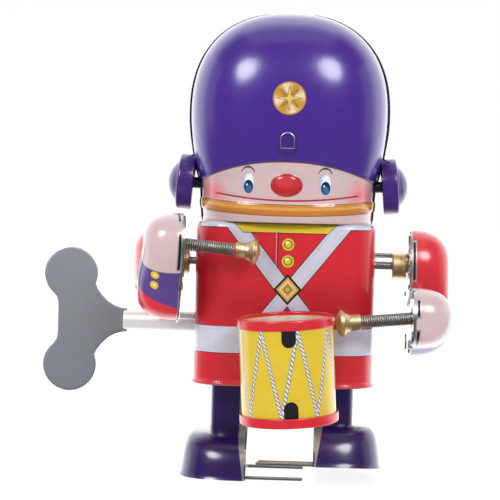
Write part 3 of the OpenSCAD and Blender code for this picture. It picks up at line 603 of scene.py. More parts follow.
def paint_arm():
    """Pink hand, purple cuff with two buttons and red sleeve, in the arm's own lowered frame."""
    p = Paint("printed_arm")
    forearm = (HAND - ELBOW).normalized()
    out, y, z = p.x, p.y, p.z
    along = (y - ELBOW.x) * forearm.x + (z - ELBOW.y) * forearm.y
    under = (y - ELBOW.x) * -forearm.y + (z - ELBOW.y) * forearm.x
    sleeve_end = out * 0.3 + 2.7
    cuff_end = 14.2 - out * 0.05
    forearm_only = (-7.3 - under).inside(0.15)
    rows = [RED,
            ((0.80, 0.05, 0.07), p.noise(0.1, 2) * 0.5),
            ((0.10, 0.05, 0.26), (sleeve_end - along).inside(0.15) * forearm_only),
            (SKIN, (cuff_end - along).inside(0.12) * forearm_only),
            # The dark line where the cuff meets the hand is a painted shadow of the step between them.
            ((0.40, 0.22, 0.20), (abs(cuff_end - along) - 0.1).inside(0.15) * forearm_only * 0.7)]
    for place in (12.4, 9.2):
        knob = p.ellipse(7.5, place, 1.0, 1.15, x=out, z=along)
        shown = under.above(0)
        rows += [((0.30, 0.17, 0.05), (knob - 0.12).inside() * shown),
                 (YELLOW, knob.inside() * shown),
                 # The pale core of each button is a painted highlight.
                 ((0.95, 0.85, 0.55), (knob + 0.6).inside(0.4) * shown * 0.7)]
    # Slots in the tin beside the plate: by the shoulder, on top of the hand and under it.
    slots = p.band(z, 1.7, 4.9).most(y + 2.0)
    slots = slots.least(p.band(z, HAND.y + 2.6, 2.0).most(y - HAND.x + 1.0))
    slots = slots.least(p.band(z, HAND.y - 6.2, 3.0).most(y - HAND.x - 1.5))
    bare = (p.band(out, 1.75, 0.62).most(slots - 0.5)).inside(0.1).most((out - 1.25).inside(0.15))
    dark = p.band(out, 1.75, 0.3).most(slots).inside(0.1)
    finish = p.lithographed(p.shape(rows), bare_edge=bare)
    base = p.shader.inputs["Base Color"]
    p.feed(base, p.over(base.links[0].from_socket, BLACK, dark))
    return finish


def paint_plain(name, colour, deeper=0.72, clouds=0.08, edge=None, attribute=True):
    """One printed or enamelled colour, clouded with a deeper tone of itself."""
    p = Paint(name, attribute)
    tone = p.shape([colour, (tuple(c * deeper for c in colour), p.noise(clouds, 2))])
    return p.lithographed(tone, bare_edge=edge(p) if edge else None)


def metal(name, colour, rough=0.3, grain=(1, 1, 1), grain_scale=2.0, depth=0.01, tint=None, attribute=False,
          spread_rough=0.15, metallic=1.0):
    """Bare metal with drawn or rolled grain, smears and a little tarnish."""
    p = Paint(name, attribute)
    lines = p.noise(grain_scale, 4, 0.6, grain)
    cloud = p.noise(0.25, 3)
    darker = tint or tuple(c * 0.6 for c in colour)
    tone = p.shape([colour, (darker, (cloud - 0.42).math("MULTIPLY", 2.2, clamp=True) * 0.6)])
    return p.surface(tone, roughness=lines * spread_rough + cloud * spread_rough + rough - spread_rough,
                     metallic=metallic, bump=lines, bump_depth=depth)


# ---- The two printed head shells ----


def head_half_w(z):
    if z < HAT_SIDE_Z:
        return mix(CHIN_HALF_W, BROW_HALF_W, clamp01((z - CHIN_Z) / 10))
    if z < HAT_WIDE_Z:
        rise = (z - HAT_SIDE_Z) / (HAT_WIDE_Z - HAT_SIDE_Z)
        return BROW_HALF_W + (HAT_HALF_W - BROW_HALF_W) * math.sin(rise * math.pi / 2)
    rise = min(1.0, (z - HAT_WIDE_Z) / (HAT_TOP_Z - HAT_WIDE_Z))
    return HAT_HALF_W * (1 - rise ** DOME_SQUARENESS) ** (1 / DOME_SQUARENESS)


def hat_edge(share, front):
    """Height of the hat's edge over the face, at a share of the brow's half width."""
    return HAT_FRONT_Z - abs(share) ** HAT_EDGE_POWER * (HAT_FRONT_Z - HAT_SIDE_Z) if front else HAT_SIDE_Z


def pressed_depth(x, z, front):
    """How far the pressed features stand out of the head's surface."""
    edge = hat_edge(x / BROW_HALF_W, front)
    depth = 0.55 * smooth((z - edge) / 0.5) * (1 - smooth((z - edge) / 16)) if z > edge else 0
    sag = (x / 22) ** 2 if front else 1
    strap = abs(z - STRAP_Z - sag * STRAP_SAG) / 1.55
    depth += 0.45 * math.sqrt(1 - strap ** 2) if strap < 1 else 0
    lip = clamp01((CHIN_Z + 0.6 - z) / 1.0)
    depth += 0.10 * math.sin(lip * math.pi)
    if front:
        nose = (x / 4.05) ** 2 + ((z - NOSE_Z) / 2.9) ** 2
        depth += 1.35 * (1 - nose) ** 0.6 if nose < 1 else 0
        for side in (LEFT, RIGHT):
            eye = ((x - side * EYE_X) / 1.6) ** 2 + ((z - EYE_Z) / 2.6) ** 2
            depth += 0.22 * (1 - eye) if eye < 1 else 0
        mouth = abs(z - MOUTH_Z - MOUTH_RISE * (x / MOUTH_HALF_W) ** 2)
        depth -= 0.16 * smooth(1 - mouth / 0.6) if abs(x) < MOUTH_HALF_W - 0.2 else 0
    return depth


def head_shell(name, front, material, node):
    """Half of the head, from side seam to side seam. The front shell's edge sits inside the back one's."""
    columns = 260 if front else 130
    rows = []
    for a in spread(0, 180, columns):
        cos_a, sin_a = math.cos(math.radians(a)), math.sin(math.radians(a))
        ux, uy = signed_pow(cos_a, 2 / HEAD_SQUARENESS), signed_pow(sin_a, 2 / HEAD_SQUARENESS)
        edge = hat_edge(ux, front)
        low = spread(CHIN_Z - 0.4, edge, 46)
        hat = [edge + t * (HAT_WIDE_Z - edge) for t in (0.004, 0.014, 0.03, *spread(0.05, 1, 30))]
        dome = [HAT_WIDE_Z + (HAT_TOP_Z - HAT_WIDE_Z) * math.sin(t) for t in spread(0.03, math.pi / 2, 44)]
        column = []
        for z in low[:-1] + [edge] + hat + dome:
            w = head_half_w(z)
            inset = (0.5 if front else 0.0) * (1 if z < HAT_TOP_Z - 0.5 else 0.6)
            d = pressed_depth(w * ux, z, front) if w > 1 else 0
            share = max(0.0, w + d - inset)
            deep = max(0.0, w * HEAD_DEPTH_SHARE + d - inset * 0.2)
            column.append((share * ux, -deep * uy if front else deep * uy, z))
        rows.append(column)
    points = [p for column in rows for p in column]
    faces = grid_faces(len(rows), len(rows[0]))
    if not front:
        faces = flipped(faces)
    give_thickness(new_piece(name, points, faces, material, "casing", replaces=[node]))


def head():
    material = finish_head()
    head_shell("head_front", True, material, "head_front_shell")
    head_shell("head_back", False, material, "head_back_shell")
    # A thin folded lip all round the seam, which shows as a dark line from the front.
    lip_path = [(side * (head_half_w(z) - 0.05), 0.15, z) for side, heights in (
        (RIGHT, spread(CHIN_Z + 0.4, HAT_TOP_Z - 0.4, 90)), (LEFT, spread(HAT_TOP_Z - 0.4, CHIN_Z + 0.4, 90)))
        for z in heights]
    points, faces = tube_along(lip_path, 0.28, 10)
    new_piece("head_seam", points, faces, paint_plain("seam_edge", (0.02, 0.012, 0.05)), "casing")


def hat_tab(material, wire):
    """The folded tongue on the hat's front: a plate with a round top inside a bright bent edge."""
    low, high = design_box("head_brace")
    half_w, low_z, top_z, back, front = 1.8, high.z - 3.4, high.z + 0.6, low.y + 0.5, low.y - 0.12
    crown = [(half_w * math.cos(a), top_z - half_w + half_w * math.sin(a)) for a in spread(0, math.pi, 24)]
    outline = [(half_w, low_z), *crown, (-half_w, low_z)]
    middle = Vector((0, (low_z + top_z) / 2))
    points, n = [], len(outline)
    levels = ((1.0, back), (1.0, front + 0.2), (0.93, front), (0.62, front + 0.12), (0.5, front + 0.2))
    for shrink, y in levels:
        points += [(p.x, y, p.y) for p in (middle.lerp(Vector(c), shrink) for c in outline)]
    new_piece("hat_tab", points, capped_faces(len(levels), n), material, "casing", sharp=30)
    foot = [(x, low_z) for x in spread(-half_w - 0.2, half_w + 0.2, 8)]
    for name, line in (("edge", outline), ("foot", foot)):
        points, faces = tube_along([(x, front + 0.02, z) for x, z in line], 0.15, 8)
        new_piece(f"hat_tab_{name}", points, faces, wire, "casing")


# ---- The jacket ----


def jacket_path(columns):
    """Half of the jacket's outline, seam to seam through the front, as (x, y, outward normal)."""
    half_w, half_d, r = BODY_W / 2, BODY_D / 2, BODY_CORNER_R
    straight_side, straight_front = half_d - r, 2 * (half_w - r)
    quarter = r * math.pi / 2
    total = 2 * straight_side + straight_front + 2 * quarter
    path = []
    for s in spread(0, total, columns):
        if s < straight_side:
            path.append((half_w, -s, 1, 0))
        elif s < straight_side + quarter:
            a = (s - straight_side) / r
            path.append((half_w - r + r * math.cos(a), -straight_side - r * math.sin(a), math.cos(a), -math.sin(a)))
        elif s < straight_side + quarter + straight_front:
            path.append((half_w - r - (s - straight_side - quarter), -half_d, 0, -1))
        elif s < total - straight_side:
            a = (s - straight_side - quarter - straight_front) / r
            path.append((-(half_w - r) - r * math.sin(a), -straight_side - r * math.cos(a), -math.sin(a),
                         -math.cos(a)))
        else:
            path.append((-half_w, -(total - s), -1, 0))
    return path


def jacket_profile():
    """(height, distance the wall stands out) from the rolled hem to the top of the shoulders."""
    bead = [(HEM_Z + 0.45 - 0.45 * math.cos(a), 0.1 + 0.35 * math.sin(a)) for a in spread(0, math.pi, 9)]
    wall = [(z, 0.0) for z in spread(HEM_Z + 1.1, SHOULDER_TOP_Z - 1.6, 70)]
    shoulder = [(SHOULDER_TOP_Z - SHOULDER_R + SHOULDER_R * math.sin(a), SHOULDER_R * (math.cos(a) - 1))
                for a in spread(0, math.pi / 2, 8)]
    top = [(SHOULDER_TOP_Z, -t) for t in (3, 5, 8, 12, 15.4)]
    return bead + wall + shoulder[1:] + top


def jacket_shell(name, front, material, node):
    """Half of the jacket. Its top is the outline, shrunk towards the middle."""
    path, profile = jacket_path(200), jacket_profile()
    points = []
    for x, y, nx, ny in path:
        for z, out in profile:
            px, py = x + nx * out, y + ny * out
            if out < -SHOULDER_R - 0.1:
                keep = max(1 + (out + SHOULDER_R) / 14, 0.0)
                px, py = (x - nx * SHOULDER_R) * keep, (y - ny * SHOULDER_R) * keep
            points.append((px, py if front else -py, z))
    faces = grid_faces(len(path), len(profile))
    if not front:
        faces = flipped(faces)
    piece = new_piece(name, points, faces, material, "casing", replaces=[node])
    give_thickness(piece)
    return piece


def circle_outline(cy, cz, r):
    return arc(cy, cz, r, 0, 351, 40)


def slot_outline(turn_low, turn_high, throw, half):
    """An arc-shaped slot about the shoulder axle."""
    return (arc(SHOULDER_Y, SHOULDER_Z, throw + half, turn_low, turn_high, 14)
            + arc(SHOULDER_Y, SHOULDER_Z, throw - half, turn_high, turn_low, 14))


def jacket():
    material = paint_jacket()
    jacket_shell("jacket_front", True, material, "body_front_shell")
    back = jacket_shell("jacket_back", False, material, "body_back_shell")
    key = joint_place("winding_key_turn")
    half = BODY_W / 2
    cutters = [cutter_prism(circle_outline(key.y, key.z, 2.95), -half - 3, -half + 3, "x")]
    for side in (LEFT, RIGHT):
        low, high = side * half - 3, side * half + 3
        cutters.append(cutter_prism(circle_outline(SHOULDER_Y, SHOULDER_Z, 1.35), low, high, "x"))
        cutters.append(cutter_prism(slot_outline(-14, 59, 3.8, 1.1), low, high, "x"))
    cut_holes(back, cutters)
    seam = paint_plain("jacket_seam", (0.10, 0.01, 0.015))
    for name, side in SIDES.items():
        path = [(side * (half + 0.02), 0.0, z) for z in spread(HEM_Z + 0.3, SHOULDER_TOP_Z - 1.2, 40)]
        points, faces = tube_along(path, 0.22, 8)
        new_piece(f"jacket_seam_{name}", points, faces, seam, "casing")


# ---- Ears ----


def ears():
    """Each ear: a cup with a dome pressed in it, a backing disc and a stem into the head."""
    enamel = paint_plain("ear_enamel", (0.060, 0.016, 0.215))
    dark = paint_plain("ear_back", (0.030, 0.010, 0.120))
    r, dome_r, dome_h, back, front = 7.4, 5.5, 2.7, 1.8, 5.9
    ball = (dome_r ** 2 + dome_h ** 2) / (2 * dome_h)
    half_angle = math.degrees(math.asin(dome_r / ball))
    edge = 0.7
    outer = [(r - 0.05, back), (r, back + 0.15), (r, front - edge)]
    outer += arc(r - edge, front - edge, edge, 8, 90, 7)
    outer += [(dome_r + 0.35, front)] + arc(dome_r + 0.3, front + 0.3, 0.3, 260, 200, 4)
    outer += arc(0, front + dome_h - ball, ball, 94 - half_angle, 90, 16)
    inner = arc(0, front + dome_h - ball, ball - SHEET, 90, 94 - half_angle, 10)
    inner += [(r - edge - 0.2, front - SHEET), (r - SHEET, front - edge), (r - SHEET, back), outer[0]]
    for name, side in SIDES.items():
        place = Matrix.Translation((side * BROW_HALF_W, 0, 76.2)) @ Matrix.Rotation(
            side * math.radians(85), 4, "Y")
        lathe(f"ear_{name}", outer + inner, place, enamel, "casing", [f"ear_cup_{name}"])
        disc = [(0, 1.6), (6.2, 1.6), (6.75, 1.7), (6.9, 2.1), (6.9, 4.3), (6.55, 4.3), (6.5, 2.2), (6.0, 2.0),
                (0, 2.0)]
        lathe(f"ear_disc_{name}", disc, place, dark, "casing", [f"ear_backing_{name}"])
        stem = [(0, -2), (1.3, -2), (1.5, -1.8), (1.5, 1.62), (0, 1.62)]
        lathe(f"ear_stem_{name}", stem, place, dark, "casing", count=32)


# ---- Drum ----


def drum():
    """The leaning drum: its side with two pressed recesses, and a banded lid at each end."""
    lean = (Matrix.Translation(DRUM_MID) @ Matrix.Rotation(-DRUM_LEAN, 4, "Y")
            @ Matrix.Rotation(DRUM_PITCH, 4, "X") @ Matrix.Translation((0, 0, -DRUM_H / 2)))
    tin = paint_drum()
    wall = [(DRUM_R, z) for z in spread(0.6, DRUM_H - 0.6, 30)]
    wall += [(DRUM_R - SHEET, DRUM_H - 0.6), (DRUM_R - SHEET, 0.6), wall[0]]
    shell = lathe("drum_side", wall, lean, tin, "casing", ["drum_shell"], count=160)
    turn = Matrix.Rotation(DRUM_RECESS_TURN, 4, "Z")
    # The cutters are made in metres in the row frame, so the drum's place is needed there too.
    metres = lean @ turn
    metres.translation = metres.translation * 0.001
    into_drum = Matrix.Translation(ORIGIN) @ metres @ Matrix.Translation(-ORIGIN)
    cutters = []
    recess_half_w, recess_side_h = 1.8, 2.8
    for low, way in ((DRUM_BAND_H - 0.4, 1), (DRUM_H - DRUM_BAND_H + 0.4, -1)):
        outline = [(-recess_half_w, low), (recess_half_w, low)]
        outline += [(x, low + way * z) for x, z in arc(0, recess_side_h, recess_half_w, 0, 180, 14)]
        cutter = cutter_prism(outline, -DRUM_R - 3, -DRUM_R + 4, "y")
        cutter.data.transform(into_drum)
        cutters.append(cutter)
    cut_holes(shell, cutters, lean)
    # A dark panel behind the recesses.
    panel_r = DRUM_R - SHEET - 0.02
    points = [(panel_r * math.sin(math.radians(a)), -panel_r * math.cos(math.radians(a)), z)
              for a in spread(-14, 22, 20) for z in (1.2, DRUM_H - 1.2)]
    panel = new_piece("drum_recess", points, grid_faces(20, 2), paint_plain("recess_black", (0.012, 0.012, 0.016)),
                      "casing", place=lean)
    give_thickness(panel, 0.2)
    for name, r, flip in (("top", DRUM_BAND_R - 0.2, 1), ("bottom", DRUM_BAND_R, -1)):
        bead, h = 0.45, DRUM_BAND_H
        rim = [(DRUM_R + 0.03, -h), (r - 0.25, -h)] + arc(r - 0.25, -h + 0.25, 0.25, 275, 360, 5)
        rim += [(r, -0.6)] + arc(r - bead, -bead, bead, 0, 180, 12)
        rim += [(r - 2 * bead, -0.9), (r - 2 * bead - 0.35, -1.05), (0, -1.0), (0, -1.3), (r - 1.9, -1.3),
                (DRUM_R + 0.03, -1.2), (DRUM_R + 0.03, -h)]
        place = lean @ Matrix.Translation((0, 0, DRUM_H if flip > 0 else 0)) @ Matrix.Diagonal((1, 1, flip, 1))
        piece = lathe(f"drum_{name}_lid", rim, place, paint_drum_lid(r), "casing",
                      [f"drum_{name}"], count=160)
        if flip < 0:
            piece.data.flip_normals()


def paint_drum_lid(r):
    """Red band, with a cream skin printed inside it and a painted orange reflection of the band round the skin's edge.
    """
    p = Paint("drum_lid")
    radius = (p.x * p.x + p.y * p.y).sqrt()
    skin = (radius - r + 1.05).inside(0.1)
    # The orange ring round the inside of the skin is a painted reflection of the red band.
    rows = [RED, ((0.80, 0.70, 0.48), skin), ((0.85, 0.40, 0.08), (abs(radius - r + 1.7) - 0.5).inside(0.5) * 0.8)]
    return p.lithographed(p.shape(rows))


# ---- Arms ----


def arm_place(name):
    """The arm's own frame: x outwards from the plate, y and z as in the lowered pose."""
    side = SIDES[name]
    return (Matrix.Translation(joint_place(f"arm_{name}_drum")) @ Matrix.Rotation(ARM_SWAY[side], 4, "Z")
            @ Matrix.Rotation(-ARM_RAISED[side], 4, "X") @ Matrix.Diagonal((side, 1, 1, 1)))


def spine():
    """Points of the arm's middle line, from the shoulder through a rounded elbow to the hand."""
    samples, bend, top = spread(0, 1, 40), 7.4, Vector((0, 0))
    down, along = (ELBOW - top).normalized(), (HAND - ELBOW).normalized()
    cut = bend * math.tan(down.angle(along) / 2)
    start, end = ELBOW - down * cut, ELBOW + along * cut
    points = [top.lerp(start, t) for t in samples[:-1]]
    points += [start.lerp(ELBOW, t).lerp(ELBOW.lerp(end, t), t) for t in samples]
    points += [end.lerp(HAND, t) for t in samples[1:]]
    return points


def arm_outline():
    """The pressed arm's outline, as ((outline point, its point of the middle line), the arm's depth there)."""
    line = spine()
    lengths = [0.0]
    for a, b in zip(line, line[1:]):
        lengths.append(lengths[-1] + (b - a).length)
    total = lengths[-1]
    outer, inner, depths = [], [], []
    waist_r = 6.4
    for i, p in enumerate(line):
        tangent = (line[min(i + 1, len(line) - 1)] - line[max(i - 1, 0)]).normalized()
        normal = Vector((-tangent.y, tangent.x))
        s = lengths[i] / total
        if s < 0.55:
            r = mix(SHOULDER_CAP_R, waist_r, smooth(s / 0.45))
        else:
            r = mix(waist_r, HAND_R, smooth((s - 0.6) / 0.3))
        # The elbow bulges outwards, more on the forearm so that it clears the key's barrel.
        elbow = math.exp(-((s - 0.53) / 0.12) ** 2)
        outer.append((p + normal * (r + 2.3 * elbow), p))
        inner.append((p - normal * (r - 1.2 * elbow), p))
        depths.append(mix(ARM_DEPTH, HAND_DEPTH, smooth((s - 0.6) / 0.35)))
    first, last = line[0], line[-1]
    t0, t1 = (line[1] - first).normalized(), (last - line[-2]).normalized()
    n0, n1 = Vector((-t0.y, t0.x)), Vector((-t1.y, t1.x))
    turns = spread(0, math.pi, 34)[1:-1]
    hand_cap = [(last + HAND_R * (n1 * math.cos(a) + t1 * math.sin(a)), last) for a in turns]
    shoulder_cap = [(first - SHOULDER_CAP_R * n0 * math.cos(a) - SHOULDER_CAP_H * t0 * math.sin(a), first)
                    for a in turns]
    return [*zip(outer, depths), *((c, depths[-1]) for c in hand_cap),
            *reversed(list(zip(inner, depths))), *((c, depths[0]) for c in shoulder_cap)]


# Where the bent tabs sit, as counts along the arm's outline.
TAB_PLACES = (8, 30, 60, 84, 100, 122, 134, 146, 165, 185, 215, 238, 258, 274)


def arm_shells(material):
    """The bulging tin of each arm: the outline, shrinking to its middle line as it rises from the plate."""
    loop = arm_outline()
    base, wall = 1.0, 0.6
    rings = [(1.0, None), (1.0, 0.0)] + [(math.cos(a) ** 0.75, math.sin(a) ** 0.85)
                                         for a in spread(0.06, math.pi / 2 - 0.02, 26)]
    points = []
    for shrink, rise in rings:
        for (edge, middle), depth in loop:
            p = middle.lerp(edge, shrink)
            height = base if rise is None else base + wall + rise * (depth - wall)
            points.append((height, p.x, p.y))
    faces = grid_faces(len(rings), len(loop), closed=True)
    for name, side in SIDES.items():
        piece = new_piece(f"arm_shell_{name}_tin", points, faces, material, f"arm_{name}",
                          place=arm_place(name), replaces=[f"arm_shell_{name}"], sharp=60)
        weld(piece, 0.02)
        face_outwards(piece, side)
        give_thickness(piece, sharp=60)


def plate_tabs(material):
    """The tabs of each shell that are bent over the plate's inner face, at places round the outline."""
    loop = arm_outline()
    inner, reach, thick = 0.2, 0.72, 0.35
    section = ((1.0, 1.3), (1.015, 0.75), (0.985, inner), (reach, inner), (reach, inner + thick),
               (0.97, inner + thick), (0.985, 1.3))
    steps = range(-3, 3)
    points, faces = [], []
    for place in TAB_PLACES:
        faces += [tuple(len(points) + i for i in f) for f in capped_faces(len(steps), len(section))]
        for step in steps:
            edge, middle = loop[(place + step) % len(loop)][0]
            points += [(height, p.x, p.y) for p, height in ((middle.lerp(edge, share), h) for share, h in section)]
    for name in SIDES:
        new_piece(f"arm_tabs_{name}", points, faces, material, f"arm_{name}",
                  place=arm_place(name), sharp=30)


def weld(piece, distance):
    """Joins points that lie within a distance of each other, in millimetres."""
    join = piece.modifiers.new("weld", "WELD")
    join.merge_threshold = distance * 0.001
    settle(piece)


def face_outwards(piece, side):
    """Turns the faces so that they look away from the body."""
    if side * sum(polygon.normal.x * polygon.area for polygon in piece.data.polygons) < 0:
        piece.data.flip_normals()


def stick_place(name):
    """A drumstick's own frame, whose Z runs out of the hand along the stick."""
    return (arm_place(name) @ Matrix.Translation((4.5, HAND.x, HAND.y))
            @ Matrix.Rotation(ARM_RAISED[SIDES[name]], 4, "X") @ Matrix.Rotation(math.radians(8), 4, "Z")
            @ Matrix.Rotation(math.radians(-95), 4, "Y"))


def drumsticks(brass, steel):
    """Each drumstick: a close-wound coil spring with a turned knob on its end."""
    length, turns, r = 17.5, 29, 1.7
    wire = length / turns
    core = r - wire / 2
    per_turn = 28
    coil = [(core * math.cos(math.tau * i / per_turn), core * math.sin(math.tau * i / per_turn),
             wire / 2 + (length - wire) * i / (turns * per_turn)) for i in range(turns * per_turn + 1)]
    knob_r = 3.4
    head = [(0, 0), (1.85, 0), (2.1, 0.2), (2.1, 2.4), (2.0, 2.6), (2.1, 2.75)]
    head += [(mix(2.2, knob_r - 0.1, t ** 1.5), mix(2.8, 4.5, t)) for t in spread(0, 1, 10)]
    head += [(knob_r, 4.6), (knob_r, 4.85), (knob_r - 0.15, 5.05)]
    ball, low = 5.5, 0.88
    head += arc(0, low, ball, 55, 90, 9)
    points, faces = tube_along(coil, wire / 2 * 0.84, 8)
    for name in SIDES:
        new_piece(f"stick_coil_{name}", points, faces, steel, f"arm_{name}",
                  place=stick_place(name), replaces=[f"drumstick_spring_{name}"])
        lathe(f"stick_knob_{name}", head, stick_place(name) @ Matrix.Translation((0, 0, length)), brass,
              f"arm_{name}", [f"drumstick_knob_{name}"], count=72)


def bushes(brass):
    """The turned bush of each arm: a flanged drum with a groove, round the axle."""
    bore, neck, groove, r = 1.26, 1.95, 3.3, 3.5
    profile = [(bore, -1.6), (neck, -1.6), (neck, 0.0), (groove, 0.0), (r, 0.2), (r, 1.15), (groove, 1.3),
               (groove, 1.5), (r, 1.65), (r, 3.35), (r - 0.25, 3.6), (1.7, 3.6), (1.5, 3.5), (bore, 3.5),
               (bore, -1.6)]
    for name, side in SIDES.items():
        place = Matrix.Translation(joint_place(f"arm_{name}_drum")) @ Matrix.Rotation(side * -math.pi / 2, 4, "Y")
        lathe(f"bush_{name}", profile, place, brass, f"arm_{name}", [f"arm_bush_{name}"], count=64)


# ---- Legs ----

LEG_IN, SHOE_TOP_Z = 9.1, 11.2


def leg_place(side):
    """The leg's frame, modelled as the right leg standing on the floor. In the photo the right foot is lifted."""
    if side == LEFT:
        return Matrix.Diagonal((-1, 1, 1, 1))
    pin, low_pin = joint_place("leg_right_step"), joint_place("leg_left_step")
    return (Matrix.Translation((0, pin.y, pin.z)) @ Matrix.Rotation(math.radians(-7), 4, "X")
            @ Matrix.Translation((0, -low_pin.y, -low_pin.z)))


def shoe_section(z):
    """Outline of the shoe and leg at a height, open towards the inner plate."""
    leg_out, shoe_out = 18.9, 26.3

    def bulge(start, power):
        rise = clamp01((z - start) / (SHOE_TOP_Z - start))
        return (1 - rise ** power) ** (1 / power)

    lean = 1.5 * clamp01(z / SHOE_TOP_Z)
    wide = mix(leg_out, shoe_out, bulge(1.5, 5.0)) - lean * bulge(1.5, 4.2) - LEG_IN
    toe = -6 - (14 - lean) * bulge(1.5, 3.0)
    heel = 7 + 5 * bulge(1.5, 3.2)
    square = 2 / mix(4.5, 2.9, bulge(3, 2))
    middle = mix(0.5, -5.0, bulge(1.5, 2.0))
    turns = spread(0, math.pi / 2, 26)
    front = [(LEG_IN + wide * math.sin(a) ** square, mix(middle, toe, math.cos(a) ** square)) for a in turns]
    rear = [(LEG_IN + wide * math.cos(a) ** square, mix(middle, heel, math.sin(a) ** square)) for a in turns]
    return front + rear[1:]


def bare_leg_edge(p):
    """Bare tin at the sole's lip and down the inner edge, which widens up to the ankle."""
    inner = p.x - LEG_IN - 0.2 - (p.z / 11).clamped() * 1.7
    return (p.z - 0.05).least(inner).inside(0.15)


def legs():
    """Each shoe and leg in one pressing, with a lip flared out round the sole."""
    tin = paint_plain("leg_tin", LEG_PURPLE, edge=bare_leg_edge)
    heights = [0, 0.25, 0.5, 0.9, *spread(1.4, SHOE_TOP_Z - 0.6, 34),
               *(SHOE_TOP_Z + rise for rise in (-0.3, -0.1, 0, 0.05, 0.6, 1.4)), *spread(15, 33, 12)]
    points = []
    for z in heights:
        flare = 0.28 * clamp01(1 - z / 0.8)
        points += [(x + flare * clamp01((x - LEG_IN) / 4), y + flare * (0.6 if y > -4 else -0.6), z)
                   for x, y in shoe_section(z)]
    faces = grid_faces(len(heights), len(points) // len(heights))
    for name, side in SIDES.items():
        piece = new_piece(f"leg_{name}_tin", points, flipped(faces) if side == LEFT else faces, tin,
                          f"leg_{name}", place=leg_place(side), replaces=[f"leg_shell_{name}"], sharp=50)
        give_thickness(piece, sharp=50)


def foot_wires(steel):
    """A U of wire with bent corners in each shoe."""
    r, height, inner, outer, front, rear, bend = 0.48, 0.5, -5.9, 22.3, -17, 4, 2.2
    path = [(inner, front)] + [(x, front) for x in spread(inner + 3.8, outer - bend, 14)]
    path += arc(outer - bend, front + bend, bend, -80, -10, 7)
    path += [(outer, y) for y in spread(front + bend, rear - bend, 8)]
    path += arc(outer - bend, rear - bend, bend, 10, 80, 7)
    path += [(x, rear) for x in spread(outer - bend, inner, 15)]
    points, faces = tube_along([(x, y, height) for x, y in path], r, 12)
    for name, side in SIDES.items():
        new_piece(f"wire_{name}", points, faces, steel, f"leg_{name}", place=leg_place(side),
                  replaces=[f"foot_wire_{name}"])


# ---- Key ----


def key_outline():
    """Half of the bow-shaped blade's outline, from the middle of its back edge to its neck."""
    lobe_x, lobe_z, r = -57.5, 12.25, 7.2
    back = [(-60.9, 0.0), (-60.9, 2.5), (-60.95, 4.5), (-61.4, 5.9)]
    neck = [(-50.2, 8.2), (-49.0, 6.6), (-47.4, 5.0), (-45.6, 3.9), (-43.6, 3.3), (-42.2, 3.1)]
    return back + arc(lobe_x, lobe_z, r, 225, -22, 40) + neck


def winding_key(steel, barrel_steel):
    """The blade, an outline with rounded edges, and its barrel, a rolled tube with a rounded mouth."""
    half = key_outline()
    outline = half + [(x, -z) for x, z in reversed(half[1:])]
    n = len(outline)
    key = joint_place("winding_key_turn")
    levels = [(0.7, -0.5), (0.22, -0.5), (0.06, -0.44), (0.0, -0.28), (0.0, 0.28), (0.06, 0.44), (0.22, 0.5),
              (0.7, 0.5)]
    points = []
    for inset, y in levels:
        for i, (x, z) in enumerate(outline):
            before, after = Vector(outline[i - 1]), Vector(outline[(i + 1) % n])
            tangent = (after - before).normalized()
            normal = Vector((tangent.y, -tangent.x))
            points.append((x + normal.x * inset, key.y + y, key.z + z + normal.y * inset))
    new_piece("key_blade", points, capped_faces(len(levels), n), steel, "key",
              replaces=["winding_key"], sharp=30)
    length, r, bore = 31, 2.6, 1.5
    barrel = [(bore, 0.3), (bore, 0.2), (2.2, 0.0), (r - 0.15, 0.05), (r, 0.3), (r, length - 0.4),
              (r - 0.15, length - 0.1), (2.2, length), (bore, length), (bore, 0.3)]
    place = Matrix.Translation((-43.2, key.y, key.z)) @ Matrix.Rotation(math.pi / 2, 4, "Y")
    lathe("key_barrel", barrel, place, barrel_steel, "key", count=72)


# ---- CAD nodes that keep their shape ----


def dress_cad_nodes():
    """Materials for the nodes that still show their CAD shape."""
    tinplate = metal("tinplate", (0.66, 0.65, 0.62), 0.26, grain=(1, 0.06, 1), grain_scale=6, depth=0.004)
    drawn = metal("drawn_steel", (0.62, 0.62, 0.61), 0.24, grain=(0.05, 1, 1), grain_scale=8, depth=0.003)
    dark = metal("spring_steel", (0.20, 0.20, 0.21), 0.32, grain=(1, 1, 1), grain_scale=3, depth=0.003)
    brass = metal("cut_brass", (0.72, 0.50, 0.22), 0.32, grain=(1, 1, 1), grain_scale=5, depth=0.004)
    looks = {"tinplate": tinplate, "bright_steel": drawn, "spring_steel": dark, "brass": brass,
             "hat_enamel": paint_plain("hat_enamel", (0.05, 0.016, 0.22), 0.7, 0.1, attribute=False)}
    for part in frame["record"]["subparts"]:
        node = frame["nodes"][part["node"]]
        if node.hide_render:
            continue
        node.data.materials.clear()
        node.data.materials.append(looks[part["material_slot"]])


# ---- Studio ----


